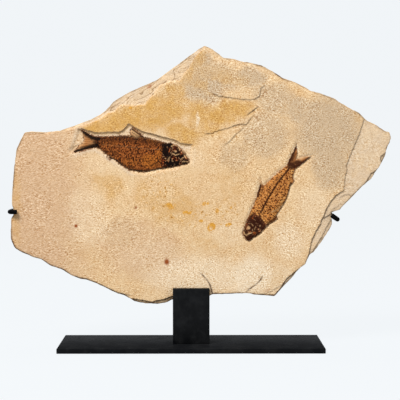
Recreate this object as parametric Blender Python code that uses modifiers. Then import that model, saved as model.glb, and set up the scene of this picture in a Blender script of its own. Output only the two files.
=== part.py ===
"""Fossil fish slab on a black stand: two flattened fish in a laminated limestone plate.

Metres, +Z up. The origin is the centre of the base plate's underside, the slab's
face looks along -Y, and +X runs to the right of someone who faces it.
"""
import math
import random

import bmesh
import bpy
from mathutils import Vector

MM = 0.001
TOUCH_GAP = 0.3 * MM        # left between pieces that touch
CUT_PAST = 2.0 * MM         # a cutter runs this far out of what it cuts
WELD = 0.01 * MM            # points closer than this are one point
FLAT = math.radians(0.1)    # faces that bend less than this are one face
SHARP = math.radians(40)    # edges that bend more than this are corners

# ---------------------------------------------------------------- stand sizes
BASE_WIDTH = 254.0 * MM     # 10 in
BASE_DEPTH = 76.2 * MM      # 3 in
BASE_THICK = 4.8 * MM
BASE_EDGE = 0.6 * MM

BLOCK_WIDTH = 35.4 * MM
BLOCK_DEPTH = 26.0 * MM
BLOCK_TOP = 58.4 * MM       # height above the table
BLOCK_EDGE = 0.5 * MM

ROD_RADIUS = 2.2 * MM
ROD_BEND = 9.0 * MM         # centreline radius of the arm's own bends
HOOK_BEND = 2.9 * MM        # centreline radius of the prong's tight bends
ROD_STAND = 8.0 * MM        # each arm leaves the block this far from its middle
ROD_RISE = 16.0 * MM        # and climbs this far before it leans outwards
BEND_STEPS = 5

# Where each arm turns, as (x, z) in mm: behind the slab, just outside its edge, and at its tip.
LEFT_TURNS = [(-146.0, 132.1), (-174.5, 132.1), (-167.3, 132.1)]
RIGHT_TURNS = [(118.0, 141.0), (141.1, 124.7), (134.9, 129.1)]

# ----------------------------------------------------------------- slab sizes
SLAB_THICK = 12.7 * MM      # half an inch
SEAT_Z = 46.5 * MM          # flat foot of the slab, in the block's slot
BED_OVERLAP = 0.5 * MM      # neighbouring beds run this far into each other

FRONT_Y = -SLAB_THICK / 2
BACK_Y = SLAB_THICK / 2

# The slab's beds: depth at which each starts, least and most that its edge has broken back, in mm,
# and the seed of its breaks. The first two also end at the ledges of the face.
BEDS = {
    "front_bed": (0.0, 1.0, 1.5, 2),
    "second_bed": (1.6, 0.4, 0.7, 3),
    "third_bed": (2.9, 0.0, 0.0, 4),
    "fourth_bed": (5.2, 1.0, 2.2, 5),
    "fifth_bed": (7.6, 0.2, 0.7, 8),
    "back_bed": (10.2, 1.4, 3.4, 11),
}

# The slab's outline, clockwise from the top left corner, as (x, z) in mm.
TOP_LEFT = [(-160.3, 209.0), (-154.5, 209.6), (-140.1, 208.8), (-125.8, 210.7), (-111.0, 215.4),
            (-96.9, 220.9), (-87.3, 225.8), (-82.5, 229.4), (-74.8, 238.0), (-60.4, 247.0),
            (-47.0, 252.8), (-33.6, 258.5), (-20.0, 268.5), (-6.5, 278.3), (6.6, 288.2)]
TOP_RIGHT = [(13.3, 291.8), (20.9, 288.2), (31.5, 280.2), (41.0, 278.9), (48.7, 276.6), (54.4, 276.0),
             (67.8, 272.8), (80.3, 266.1), (89.0, 260.4), (100.5, 256.6), (113.9, 249.6), (125.5, 246.0),
             (137.0, 241.7), (152.4, 232.0), (162.0, 227.2)]
RIGHT_TIP = [(168.8, 220.3), (179.4, 215.0), (187.2, 209.6), (191.0, 209.0), (193.0, 203.5),
             (192.1, 198.4), (189.2, 194.0), (187.4, 186.2), (181.2, 174.2), (173.6, 163.1),
             (165.0, 155.9), (145.4, 135.7)]
NOTCH = [(144.0, 133.3), (135.8, 131.2), (135.8, 126.0), (136.8, 122.1)]
LOWER_RIGHT = [(136.3, 119.2), (131.6, 110.5), (125.0, 101.0), (119.6, 93.3), (114.8, 90.0)]
BOTTOM_RIGHT = [(110.5, 80.2), (102.3, 73.7), (97.5, 67.4), (86.4, 55.7), (81.1, 49.4)]
BOTTOM = [(67.0, 50.6), (53.0, 52.3), (37.5, 51.8), (22.0, 51.6), (17.6, 49.6)]
SEAT = [(14.5, SEAT_Z / MM), (-18.3, SEAT_Z / MM)]
BOTTOM_STEP = [(-24.4, 43.1), (-32.1, 41.7), (-48.6, 43.1), (-55.3, 44.8)]
LOWER_LEFT = [(-65.0, 50.5), (-73.7, 53.0), (-83.5, 58.2), (-93.0, 62.6), (-101.6, 65.9), (-107.4, 66.5),
              (-117.1, 70.4), (-124.7, 75.6), (-136.3, 79.4), (-144.9, 85.5), (-152.6, 87.6),
              (-165.1, 93.2), (-170.6, 96.6)]
LEFT = [(-174.4, 105.3), (-174.5, 119.4), (-173.9, 126.5), (-171.8, 129.2), (-171.8, 135.0),
        (-173.4, 138.5), (-172.7, 155.0), (-170.8, 174.0), (-168.3, 192.5)]

OUTLINE = (TOP_LEFT + TOP_RIGHT + RIGHT_TIP + NOTCH + LOWER_RIGHT + BOTTOM_RIGHT + BOTTOM
           + SEAT + BOTTOM_STEP + LOWER_LEFT + LEFT)

# Ledges where the front bed has flaked away from the beds behind it, in mm.
FLAKED_TOP = [(-113.0, 212.6), (-97.0, 217.4), (-87.4, 221.2), (-79.7, 227.0), (-73.9, 227.9),
              (-68.1, 234.6), (-56.0, 234.2), (-44.2, 234.6), (-42.3, 238.4), (-35.5, 245.1),
              (-29.8, 253.7), (-20.2, 257.0), (-10.6, 258.0), (-6.8, 264.2), (-2.0, 269.9),
              (0.8, 276.0), (6.6, 283.4)]
RIGHT_LEDGE = [(165.9, 220.8), (162.7, 209.8), (158.9, 200.2), (153.7, 188.6), (149.4, 176.1),
               (149.5, 171.3), (148.1, 165.6), (147.2, 153.0)]
CURVED_LEDGE = [(143.4, 150.6), (139.5, 147.7), (133.8, 141.0), (130.0, 133.7), (127.6, 127.0),
                (125.7, 124.1), (124.7, 120.2), (120.4, 113.4), (116.6, 104.7), (114.3, 94.1)]
CORNER_LEDGE = [(105.2, 76.6), (97.5, 71.7), (91.7, 66.4), (87.8, 60.1), (84.0, 54.2), (79.2, 50.9)]
FOOT_LEDGE = [(-18.6, 50.4), (-25.3, 47.5), (-30.2, 46.3), (-37.9, 44.6), (-49.5, 46.6), (-57.2, 47.8)]
NOTCH_LEDGE = [(133.9, 129.4), (130.0, 127.0), (127.2, 124.0), (125.6, 119.4), (121.4, 112.6),
               (117.6, 104.0), (115.6, 93.6)]

# ------------------------------------------------------------------ the fish
PLATE_THICK = 0.9 * MM      # flat bones, fins and tail
LEFT_POCKET_DEPTH = 1.3 * MM
RIGHT_POCKET_DEPTH = 1.0 * MM
SKIN = 0.08 * MM            # tail and fins are thinner than the body by this on each side
RAY_RADIUS = 0.35 * MM
RIB_RADIUS = 0.32 * MM
SPINE_RADIUS = 0.6 * MM
BODY_CROWN = [(0.08, 0.25 * MM), (0.14, 0.25 * MM), (0.25, 0.2 * MM)]    # share of the way in, rise
BONE_CROWN = [(0.12, 0.3 * MM)]
BODY_HEIGHT = PLATE_THICK + sum(rise for _, rise in BODY_CROWN)

# Hollow of the left fish: the broken ledge above its back, the scraped rim below.
LEFT_HOLLOW = [(-102.7, 212.1), (-98.9, 210.2), (-92.2, 208.8), (-77.8, 209.3), (-69.2, 209.3),
               (-65.4, 211.2), (-59.6, 217.4), (-53.8, 213.6), (-47.1, 209.7), (-36.6, 207.2),
               (-26.3, 204.0), (-16.8, 202.1), (-10.4, 198.8), (-4.9, 197.7), (1.5, 196.4),
               (1.2, 186.0), (1.8, 178.5), (-4.0, 175.2), (-16.0, 171.6), (-30.0, 168.9),
               (-45.0, 166.6), (-56.0, 168.0), (-66.0, 172.9), (-75.6, 180.0), (-82.4, 181.0),
               (-85.6, 186.2), (-92.0, 190.3), (-102.0, 188.6), (-114.6, 186.4), (-116.0, 190.4),
               (-109.6, 197.0), (-106.0, 202.0), (-107.0, 208.0), (-107.2, 212.4)]

# Hollow of the right fish: a narrow scraped margin all round it.
RIGHT_HOLLOW = [(90.4, 176.8), (93.6, 184.0), (100.9, 199.4), (102.4, 199.0), (103.4, 188.4),
                (102.0, 184.0), (107.4, 186.0), (117.6, 187.0), (118.2, 185.8), (110.4, 179.2),
                (101.8, 172.6), (99.3, 167.6), (101.0, 162.6), (97.0, 156.0), (95.2, 149.8),
                (92.4, 142.2), (87.8, 134.6), (84.6, 129.2), (85.4, 125.0), (79.0, 120.8),
                (72.8, 116.0), (67.6, 110.2), (63.0, 107.0), (61.0, 105.4), (55.8, 102.2), (51.4, 105.8),
                (48.3, 110.0), (49.6, 115.0), (51.4, 121.6), (54.4, 129.8), (58.0, 137.8), (60.9, 144.6),
                (62.9, 151.8), (64.7, 159.0), (65.7, 164.9), (67.4, 164.6), (70.8, 159.6), (80.6, 169.6)]

LEFT_FISH = {
    "body": [(-93.0, 204.6), (-75.9, 204.8), (-63.5, 205.4), (-49.1, 204.7), (-39.5, 202.8),
             (-29.9, 200.0), (-23.2, 198.1), (-18.4, 198.3), (-12.6, 195.2), (-7.8, 191.3),
             (-4.2, 185.8), (-1.3, 179.8), (-3.4, 178.3), (-9.8, 177.0), (-18.4, 174.9),
             (-31.9, 172.9), (-44.4, 170.2), (-52.1, 170.7), (-60.7, 172.6), (-66.4, 176.4),
             (-75.1, 183.1), (-83.7, 189.0), (-87.5, 192.7), (-92.3, 194.2)],
    "tail": [(-91.0, 204.4), (-97.0, 206.6), (-105.6, 211.4), (-103.9, 206.0), (-102.6, 200.4),
             (-108.6, 194.6), (-113.6, 189.2), (-106.7, 190.0), (-99.0, 192.3), (-91.0, 194.0)],
    "fins": [[(-58.4, 204.2), (-58.6, 210.5), (-56.0, 213.0), (-50.6, 208.8), (-44.0, 203.2)],
             [(-77.0, 186.2), (-81.5, 183.6), (-78.6, 182.0), (-73.0, 183.2)]],
    "gill": [(-29.4, 197.6), (-22.0, 196.4), (-19.4, 187.0), (-21.0, 178.6), (-27.0, 175.4),
             (-31.2, 182.0), (-31.8, 190.0)],
    "jaw": [(-15.0, 178.2), (-9.4, 184.6), (-3.2, 181.2), (-2.2, 179.4), (-4.2, 179.0), (-10.6, 177.8)],
    "eye": (-13.4, 190.0),
    "spine": [(-95.5, 199.6), (-75.0, 197.6), (-55.0, 194.4), (-32.5, 190.6)],
    "middle": [(-88.0, 199.0), (-70.0, 193.5), (-50.0, 188.0), (-25.0, 186.0), (-8.0, 183.0)],
    "rays": [((-93.5, 202.6), (-103.2, 209.2)), ((-94.0, 201.4), (-102.4, 205.6)),
             ((-94.2, 197.4), (-104.0, 194.8)), ((-93.5, 195.8), (-109.6, 190.4)),
             ((-47.5, 204.4), (-55.4, 211.4)), ((-51.0, 204.6), (-57.0, 210.2))],
    "ribs": [((-70.0 + 4.6 * i, 195.6 - 0.72 * i), (-65.0 + 4.4 * i, 184.2 - 1.7 * i)) for i in range(8)],
}

RIGHT_FISH = {
    "body": [(100.2, 172.9), (98.4, 167.7), (97.8, 160.6), (95.5, 156.4), (94.1, 150.1), (91.2, 142.6),
             (86.7, 135.2), (82.6, 129.0), (80.4, 123.6), (75.6, 119.9), (72.0, 116.9), (66.8, 111.0),
             (62.3, 108.1), (58.6, 107.0), (55.6, 103.4), (52.4, 106.4), (49.5, 110.1), (50.7, 114.5),
             (52.5, 121.2), (55.5, 129.3), (59.1, 137.4), (62.7, 145.6), (65.8, 154.5), (71.4, 158.6),
             (81.5, 168.8), (92.8, 177.6)],
    "tail": [(91.6, 176.4), (94.4, 183.4), (101.3, 198.1), (102.5, 188.2), (100.7, 182.5),
             (107.5, 185.0), (116.7, 186.0), (109.5, 180.0), (101.4, 173.6), (97.0, 172.0)],
    "fins": [[(62.0, 146.0), (64.0, 151.5), (65.8, 158.8), (66.6, 163.5), (69.6, 157.6), (68.5, 154.0)],
             [(97.4, 165.0), (99.9, 162.8), (96.6, 157.4), (94.6, 158.0)],
             [(81.6, 129.2), (84.3, 125.5), (78.4, 121.6), (77.0, 124.0)]],
    "gill": [(56.4, 122.0), (62.8, 125.4), (72.6, 119.4), (70.6, 115.6), (63.6, 110.0), (57.4, 113.0)],
    "jaw": [(51.4, 108.8), (56.8, 109.6), (60.6, 107.6), (57.8, 104.8), (55.2, 103.4), (52.6, 105.4)],
    "eye": (54.6, 116.2),
    "spine": [(97.0, 176.4), (92.6, 173.0), (86.0, 162.6), (78.6, 152.0), (72.8, 143.4), (68.4, 135.2),
              (65.2, 126.6)],
    "middle": [(95.0, 173.0), (86.0, 159.0), (76.0, 144.0), (68.0, 128.0), (61.0, 116.0), (56.0, 107.5)],
    "rays": [((95.4, 180.0), (100.8, 195.4)), ((97.4, 179.6), (101.6, 190.4)),
             ((99.4, 177.6), (112.6, 184.4)), ((99.2, 175.8), (111.0, 181.8)),
             ((64.2, 149.0), (66.2, 160.4)), ((66.4, 151.8), (67.6, 159.0))],
    "ribs": [((86.4 - 2.5 * i, 160.6 - 3.9 * i), (92.6 - 3.0 * i, 151.4 - 4.0 * i)) for i in range(7)],
}
EYE_RADIUS = 2.9 * MM
EYE_RIM = 0.6 * MM
EYE_SIDES = 14
RIM_SIDES = 6
HEAD_LIFT = 0.1 * MM        # head bones stand this far above the body
SPINE_SINK = 0.1 * MM       # the backbone's middle lies this far inside it
RIB_DIP = 0.15 * MM         # and the ribs' lower ends this far

BASE_PAINT = ("black_paint", (0.010, 0.0105, 0.011, 1.0), 0.45, 0.0)
STONE = ("limestone", (0.76, 0.60, 0.42, 1.0), 0.9, 0.0)
BONE = ("fossil_bone", (0.14, 0.045, 0.014, 1.0), 0.5, 0.0)


# ------------------------------------------------------------------- helpers
def clear_scene():
    """Remove whatever the file holds and make the two collections."""
    for obj in list(bpy.data.objects):
        bpy.data.objects.remove(obj, do_unlink=True)
    collections = []
    for name in ("fossil_fish_slab", "cutters"):
        collection = bpy.data.collections.new(name)
        bpy.context.scene.collection.children.link(collection)
        collections.append(collection)
    return collections


def material(name, colour, roughness, metallic):
    """Principled material of one plain finish."""
    made = bpy.data.materials.get(name) or bpy.data.materials.new(name)
    made.use_nodes = True
    shader = made.node_tree.nodes["Principled BSDF"]
    shader.inputs["Base Color"].default_value = colour
    shader.inputs["Roughness"].default_value = roughness
    shader.inputs["Metallic"].default_value = metallic
    return made


def finish(obj, collection, look, smooth=False):
    """Put a finished piece in its collection, with its material."""
    for current in list(obj.users_collection):
        current.objects.unlink(obj)
    collection.objects.link(obj)
    obj.data.materials.clear()
    obj.data.materials.append(material(*look))
    if smooth:
        obj.data.shade_smooth()
        obj.data.set_sharp_from_angle(angle=SHARP)


def as_mesh(obj):
    """Turn a curve object into a mesh object with its caps welded on."""
    bpy.context.view_layer.update()
    evaluated = obj.evaluated_get(bpy.context.evaluated_depsgraph_get())
    mesh = bpy.data.meshes.new_from_object(evaluated)
    name = obj.name
    placed = obj.matrix_world.copy()
    bpy.data.objects.remove(obj, do_unlink=True)
    bm = bmesh.new()
    bm.from_mesh(mesh)
    bmesh.ops.remove_doubles(bm, verts=bm.verts, dist=WELD)
    bmesh.ops.dissolve_limit(bm, angle_limit=FLAT, verts=bm.verts, edges=bm.edges)
    bmesh.ops.transform(bm, matrix=placed, verts=bm.verts)
    bmesh.ops.recalc_face_normals(bm, faces=bm.faces)
    bm.to_mesh(mesh)
    bm.free()
    made = bpy.data.objects.new(name, mesh)
    bpy.context.scene.collection.objects.link(made)
    return made


def outline_solid(name, points, front, back):
    """Prism on an (x, z) outline in mm, from y = front to y = back."""
    curve = bpy.data.curves.new(name, "CURVE")
    curve.dimensions = "2D"
    curve.fill_mode = "BOTH"
    curve.extrude = (back - front) / 2
    spline = curve.splines.new("POLY")
    spline.points.add(len(points) - 1)
    for point, (x, z) in zip(spline.points, points):
        point.co = (x * MM, z * MM, 0.0, 1.0)
    spline.use_cyclic_u = True
    obj = bpy.data.objects.new(name, curve)
    obj.rotation_euler = (math.pi / 2, 0.0, 0.0)
    obj.location = (0.0, (front + back) / 2, 0.0)
    bpy.context.scene.collection.objects.link(obj)
    return as_mesh(obj)


def tube(name, points, radius, resolution):
    """Round rod through the points, in metres, with filled ends."""
    curve = bpy.data.curves.new(name, "CURVE")
    curve.dimensions = "3D"
    curve.bevel_depth = radius
    curve.bevel_resolution = resolution
    curve.use_fill_caps = True
    spline = curve.splines.new("POLY")
    spline.points.add(len(points) - 1)
    for point, place in zip(spline.points, points):
        point.co = (*place, 1.0)
    obj = bpy.data.objects.new(name, curve)
    bpy.context.scene.collection.objects.link(obj)
    return as_mesh(obj)


def box(name, low, high):
    """Box between two corners."""
    bpy.ops.mesh.primitive_cube_add(size=1.0)
    obj = bpy.context.object
    obj.name = name
    size = [b - a for a, b in zip(low, high)]
    middle = [(a + b) / 2 for a, b in zip(low, high)]
    bm = bmesh.new()
    bm.from_mesh(obj.data)
    bmesh.ops.scale(bm, vec=size, verts=bm.verts)
    bmesh.ops.translate(bm, vec=middle, verts=bm.verts)
    bm.to_mesh(obj.data)
    bm.free()
    return obj


def round_edges(obj, width, segments=2):
    """Live Bevel on the sharp edges."""
    bevel = obj.modifiers.new("edges", "BEVEL")
    bevel.width = width
    bevel.segments = segments
    bevel.limit_method = "ANGLE"
    bevel.angle_limit = SHARP


def combine(target, tools, operation, tool_collection):
    """Live Boolean on the target with a group of tools at once."""
    group = bpy.data.collections.new(f"{target.name}_{operation.lower()}")
    tool_collection.children.link(group)
    for tool in tools:
        for current in list(tool.users_collection):
            current.objects.unlink(tool)
        group.objects.link(tool)
        tool.hide_render = True
        tool.display_type = "WIRE"
    boolean = target.modifiers.new(operation.lower(), "BOOLEAN")
    boolean.operation = operation
    boolean.solver = "EXACT"
    boolean.operand_type = "COLLECTION"
    boolean.collection = group


def moved_inward(points, distances):
    """Move each point of a clockwise outline inwards, square to its neighbours, in mm."""
    moved = []
    for i, (x, z) in enumerate(points):
        before = Vector(points[i - 1])
        after = Vector(points[(i + 1) % len(points)])
        along = (after - before).normalized()
        moved.append((x + along.y * distances[i], z - along.x * distances[i]))
    return moved


def weathered(points, least, most, seed):
    """Outline of a bed whose edge has broken back unevenly, between two depths in mm."""
    dice = random.Random(seed)
    return moved_inward(points, [dice.uniform(least, most) for _ in points])


def rounded_route(corners, radii):
    """Points of a route whose inner corners are arcs of the given radii."""
    route = [Vector(corners[0])]
    for before, corner, after, radius in zip(corners, corners[1:], corners[2:], radii):
        corner = Vector(corner)
        back = (Vector(before) - corner).normalized()
        ahead = (Vector(after) - corner).normalized()
        half = back.angle(ahead) / 2
        reach = radius / math.tan(half)
        centre = corner + (back + ahead).normalized() * (radius / math.sin(half))
        first = corner + back * reach - centre
        last = corner + ahead * reach - centre
        sweep = first.angle(last)
        for step in range(BEND_STEPS + 1):
            turn = sweep * step / BEND_STEPS
            route.append(centre + (first * math.sin(sweep - turn) + last * math.sin(turn)) / math.sin(sweep))
    route.append(Vector(corners[-1]))
    return route


# --------------------------------------------------------------------- stand
def build_base_plate(parts):
    plate = box("base_plate", (-BASE_WIDTH / 2, -BASE_DEPTH / 2, 0.0),
                (BASE_WIDTH / 2, BASE_DEPTH / 2, BASE_THICK))
    finish(plate, parts, BASE_PAINT)
    round_edges(plate, BASE_EDGE)


def build_holder_block(parts, cutters):
    """Block with a slot right across its top for the slab's lower edge."""
    block = box("holder_block", (-BLOCK_WIDTH / 2, -BLOCK_DEPTH / 2, BASE_THICK + TOUCH_GAP),
                (BLOCK_WIDTH / 2, BLOCK_DEPTH / 2, BLOCK_TOP))
    slot_half = SLAB_THICK / 2 + TOUCH_GAP
    reach = BLOCK_WIDTH / 2 + CUT_PAST
    slot = box("slot", (-reach, -slot_half, SEAT_Z - TOUCH_GAP), (reach, slot_half, BLOCK_TOP + CUT_PAST))
    finish(block, parts, BASE_PAINT)
    round_edges(block, BLOCK_EDGE)
    combine(block, [slot], "DIFFERENCE", cutters)


def build_arm(name, side, turns, parts):
    """Rod from the block's back wall, behind the slab, round its edge to a short prong."""
    wall_y = (SLAB_THICK / 2 + TOUCH_GAP + BLOCK_DEPTH / 2) / 2
    front_y = FRONT_Y - TOUCH_GAP - ROD_RADIUS
    stand_x = side * ROD_STAND
    foot_z = BLOCK_TOP + TOUCH_GAP
    behind, outer, tip = ((x * MM, z * MM) for x, z in turns)
    corners = [
        (stand_x, wall_y, foot_z),
        (stand_x, wall_y, foot_z + ROD_RISE),
        (behind[0], wall_y, behind[1]),
        (outer[0], wall_y, outer[1]),
        (outer[0], front_y, outer[1]),
        (tip[0], front_y, tip[1]),
    ]
    route = rounded_route(corners, [ROD_BEND, ROD_BEND, HOOK_BEND, HOOK_BEND])
    arm = tube(name, route, ROD_RADIUS, 2)
    finish(arm, parts, BASE_PAINT, smooth=True)


# ---------------------------------------------------------------------- slab
def broken_outline(bed):
    """The slab's outline with one bed's edge broken back."""
    _, least, most, seed = BEDS[bed]
    return weathered(OUTLINE, least, most, seed)


def front_bed_outline():
    """The front bed ends at the ledges, and just inside the slab's edge elsewhere."""
    inner = broken_outline("front_bed")

    def near(points):
        start = OUTLINE.index(points[0])
        return inner[start:start + len(points)]
    return (near(TOP_LEFT[:4]) + FLAKED_TOP + near(TOP_RIGHT) + RIGHT_LEDGE + CURVED_LEDGE
            + near(BOTTOM_RIGHT[:1]) + CORNER_LEDGE + near(BOTTOM + SEAT) + FOOT_LEDGE
            + near(LOWER_LEFT + LEFT))


def second_bed_outline():
    """Smooth bed behind the front one, with the flake gone below the notch."""
    inner = broken_outline("second_bed")
    notch = OUTLINE.index(NOTCH[1])
    corner = OUTLINE.index(BOTTOM_RIGHT[0])
    return inner[:notch + 1] + NOTCH_LEDGE + inner[corner:]


def build_beds():
    """One solid for each bed, each run a little way into the bed behind it."""
    ledged = {"front_bed": front_bed_outline(), "second_bed": second_bed_outline()}
    starts = [FRONT_Y + start * MM for start, _, _, _ in BEDS.values()]
    ends = [start + BED_OVERLAP for start in starts[1:]] + [BACK_Y]
    solids = {}
    for bed, front, back in zip(BEDS, starts, ends):
        outline = ledged.get(bed) or broken_outline(bed)
        solids[bed] = outline_solid(bed, outline, front, back)
    return solids


def build_slab(parts, cutters):
    """Beds of limestone laid on each other, front to back, joined in one solid."""
    beds = build_beds()
    slab = beds.pop("third_bed")
    slab.name = "slab"
    combine(slab, list(beds.values()), "UNION", cutters)
    hollows = [
        outline_solid("left_hollow", LEFT_HOLLOW, FRONT_Y - CUT_PAST, FRONT_Y + LEFT_POCKET_DEPTH),
        outline_solid("right_hollow", RIGHT_HOLLOW, FRONT_Y - CUT_PAST, FRONT_Y + RIGHT_POCKET_DEPTH),
    ]
    combine(slab, hollows, "DIFFERENCE", cutters)
    finish(slab, parts, STONE)


# ---------------------------------------------------------------------- fish
def nearest_on_line(place, line):
    """Nearest point to an (x, z) place on a line of such points."""
    found = []
    for start, end in zip(line, line[1:]):
        along = end - start
        share = min(max((place - start).dot(along) / along.length_squared, 0.0), 1.0)
        found.append(start + along * share)
    return min(found, key=lambda spot: (spot - place).length)


def crown(obj, steps, line):
    """Raise the face that looks along -Y in steps that draw in towards a line, in mm."""
    middle = [Vector(point) * MM for point in line]
    bm = bmesh.new()
    bm.from_mesh(obj.data)
    bm.normal_update()
    top = [face for face in bm.faces if face.normal.y < -0.9]
    for share, rise in steps:
        lower = top
        raised = bmesh.ops.extrude_face_region(bm, geom=lower)["geom"]
        top = [part for part in raised if isinstance(part, bmesh.types.BMFace)]
        bmesh.ops.delete(bm, geom=lower, context="FACES")
        for vert in {vert for face in top for vert in face.verts}:
            place = Vector((vert.co.x, vert.co.z))
            place += (nearest_on_line(place, middle) - place) * share
            vert.co = (place.x, vert.co.y - rise, place.y)
    bm.to_mesh(obj.data)
    bm.free()


def build_eye_rim(eye, height):
    """Low ring of bone round the eye."""
    bpy.ops.mesh.primitive_torus_add(major_radius=EYE_RADIUS, minor_radius=EYE_RIM, major_segments=EYE_SIDES,
                                     minor_segments=RIM_SIDES, rotation=(math.pi / 2, 0.0, 0.0),
                                     location=(eye[0] * MM, height, eye[1] * MM))
    rim = bpy.context.object
    rim.name = "eye_rim"
    return rim


def build_fish(name, shape, depth, parts, cutters):
    """Flattened fish: low rounded body, fins and tail, backbone, ribs and head bones."""
    back = FRONT_Y + depth - TOUCH_GAP
    plate_front = back - PLATE_THICK
    top = back - BODY_HEIGHT
    body = outline_solid(name, shape["body"], plate_front, back)
    crown(body, BODY_CROWN, shape["middle"])
    pieces = [outline_solid("tail", shape["tail"], plate_front + SKIN, back - SKIN)]
    pieces += [outline_solid("fin", fin, plate_front + 2 * SKIN, back - 2 * SKIN) for fin in shape["fins"]]
    for bone in ("gill", "jaw"):
        plate = outline_solid(bone, shape[bone], top - HEAD_LIFT, back - PLATE_THICK / 2)
        crown(plate, BONE_CROWN, shape["middle"])
        pieces.append(plate)
    spine = [(x * MM, top + SPINE_SINK, z * MM) for x, z in shape["spine"]]
    pieces.append(tube("backbone", spine, SPINE_RADIUS, 0))
    for (x0, z0), (x1, z1) in shape["rays"]:
        ends = [(x0 * MM, plate_front, z0 * MM), (x1 * MM, plate_front, z1 * MM)]
        pieces.append(tube("ray", ends, RAY_RADIUS, 0))
    for (x0, z0), (x1, z1) in shape["ribs"]:
        ends = [(x0 * MM, top, z0 * MM), (x1 * MM, top + RIB_DIP, z1 * MM)]
        pieces.append(tube("rib", ends, RIB_RADIUS, 0))
    pieces.append(build_eye_rim(shape["eye"], top))
    combine(body, pieces, "UNION", cutters)
    finish(body, parts, BONE)


def build():
    parts, cutters = clear_scene()
    build_base_plate(parts)
    build_holder_block(parts, cutters)
    build_arm("left_arm", -1, LEFT_TURNS, parts)
    build_arm("right_arm", 1, RIGHT_TURNS, parts)
    build_slab(parts, cutters)
    build_fish("left_fish", LEFT_FISH, LEFT_POCKET_DEPTH, parts, cutters)
    build_fish("right_fish", RIGHT_FISH, RIGHT_POCKET_DEPTH, parts, cutters)
    cutters.hide_render = True


build()
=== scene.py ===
"""Fossil fish slab on its black stand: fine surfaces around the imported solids.

Everything sits in the frame of the solids: metres, +Z up, the slab's face looks along -Y.
Places on the slab's face are (x, z) in millimetres, and depths grow from the face to the back.
"""
import math
from collections import namedtuple

import bmesh
import bpy
import numpy as np
from mathutils import Matrix, Vector, noise


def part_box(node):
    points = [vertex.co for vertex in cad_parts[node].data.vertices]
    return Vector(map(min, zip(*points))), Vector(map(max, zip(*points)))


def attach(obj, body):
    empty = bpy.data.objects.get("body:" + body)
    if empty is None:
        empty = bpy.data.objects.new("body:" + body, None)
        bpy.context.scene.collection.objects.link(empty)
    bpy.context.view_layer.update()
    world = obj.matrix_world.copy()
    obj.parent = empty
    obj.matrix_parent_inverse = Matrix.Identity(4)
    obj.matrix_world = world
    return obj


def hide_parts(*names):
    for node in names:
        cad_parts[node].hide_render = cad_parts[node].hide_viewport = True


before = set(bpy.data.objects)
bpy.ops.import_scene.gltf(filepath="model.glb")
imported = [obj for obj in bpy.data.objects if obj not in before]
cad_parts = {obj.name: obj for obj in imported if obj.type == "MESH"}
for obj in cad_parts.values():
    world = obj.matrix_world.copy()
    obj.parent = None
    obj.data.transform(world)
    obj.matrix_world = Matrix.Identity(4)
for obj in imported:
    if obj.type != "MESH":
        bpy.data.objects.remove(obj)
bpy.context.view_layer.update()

MM = 0.001


def in_mm(corners):
    """Lowest and highest corner of a box in mm, from metres."""
    return [np.array(corner) / MM for corner in corners]


# --------------------------------------------------------------- slab measures
SLAB_LOW, SLAB_HIGH = in_mm(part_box("slab"))
FACE_Y = SLAB_LOW[1]
BACK_Y = SLAB_HIGH[1]
THICKNESS = BACK_Y - FACE_Y
WIDEST_BED = 4.0            # depth at which the slab's outline is taken
RIM_STEP = 1.15             # spacing of the points round the slab's edge
FACE_CELL = 1.9             # grid of the face away from its ledges
BACK_CELL = 3.6
FACE_MARGIN = 0.5           # the grids end this far inside the slab's edge
BACK_MARGIN = 1.2
NEAR_LEDGE = 3.2            # the face's grid is halved this close to ledges, outlines and small spots
NEAR_LINE = 1.3             # and once more this close to dark lines and small spots
NEAR_BACK_RIM = 5.0
SKIN_ROOM = 0.12            # the face stays at least this far behind the plane of the solid
BACK_ROOM = 0.05            # and the back this far in front of its plane
EDGE_BEVEL = 1.6            # how far the back edge is worn round
MOST_SETBACK = 6.0
BED_STEP = 0.3              # over what depth one bed's edge gives way to the next
GROOVE_DEPTH = 0.38         # the groove where a bed starts
GROOVE_HEIGHT = 0.16

# Depth at which each bed starts, and how far its broken edge lies inside the outline; then the depths
# of the rings that the broken edge is made of.
BEDS = [(0.0, 0.8), (1.6, 0.45), (2.9, 0.05), (5.2, 1.5), (7.6, 0.4), (10.2, 2.2)]
WALL_DEPTHS = [0.7, 1.1, 1.45, 1.6, 1.75, 2.1, 2.55, 2.8, 2.95, 3.2, 3.8, 4.4, 4.95, 5.2, 5.4, 6.0, 6.7,
               7.35, 7.6, 7.8, 8.4, 9.2, 9.9, 10.2, 10.4, 10.9, 11.5, 12.0, 12.4, 12.62]

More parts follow.
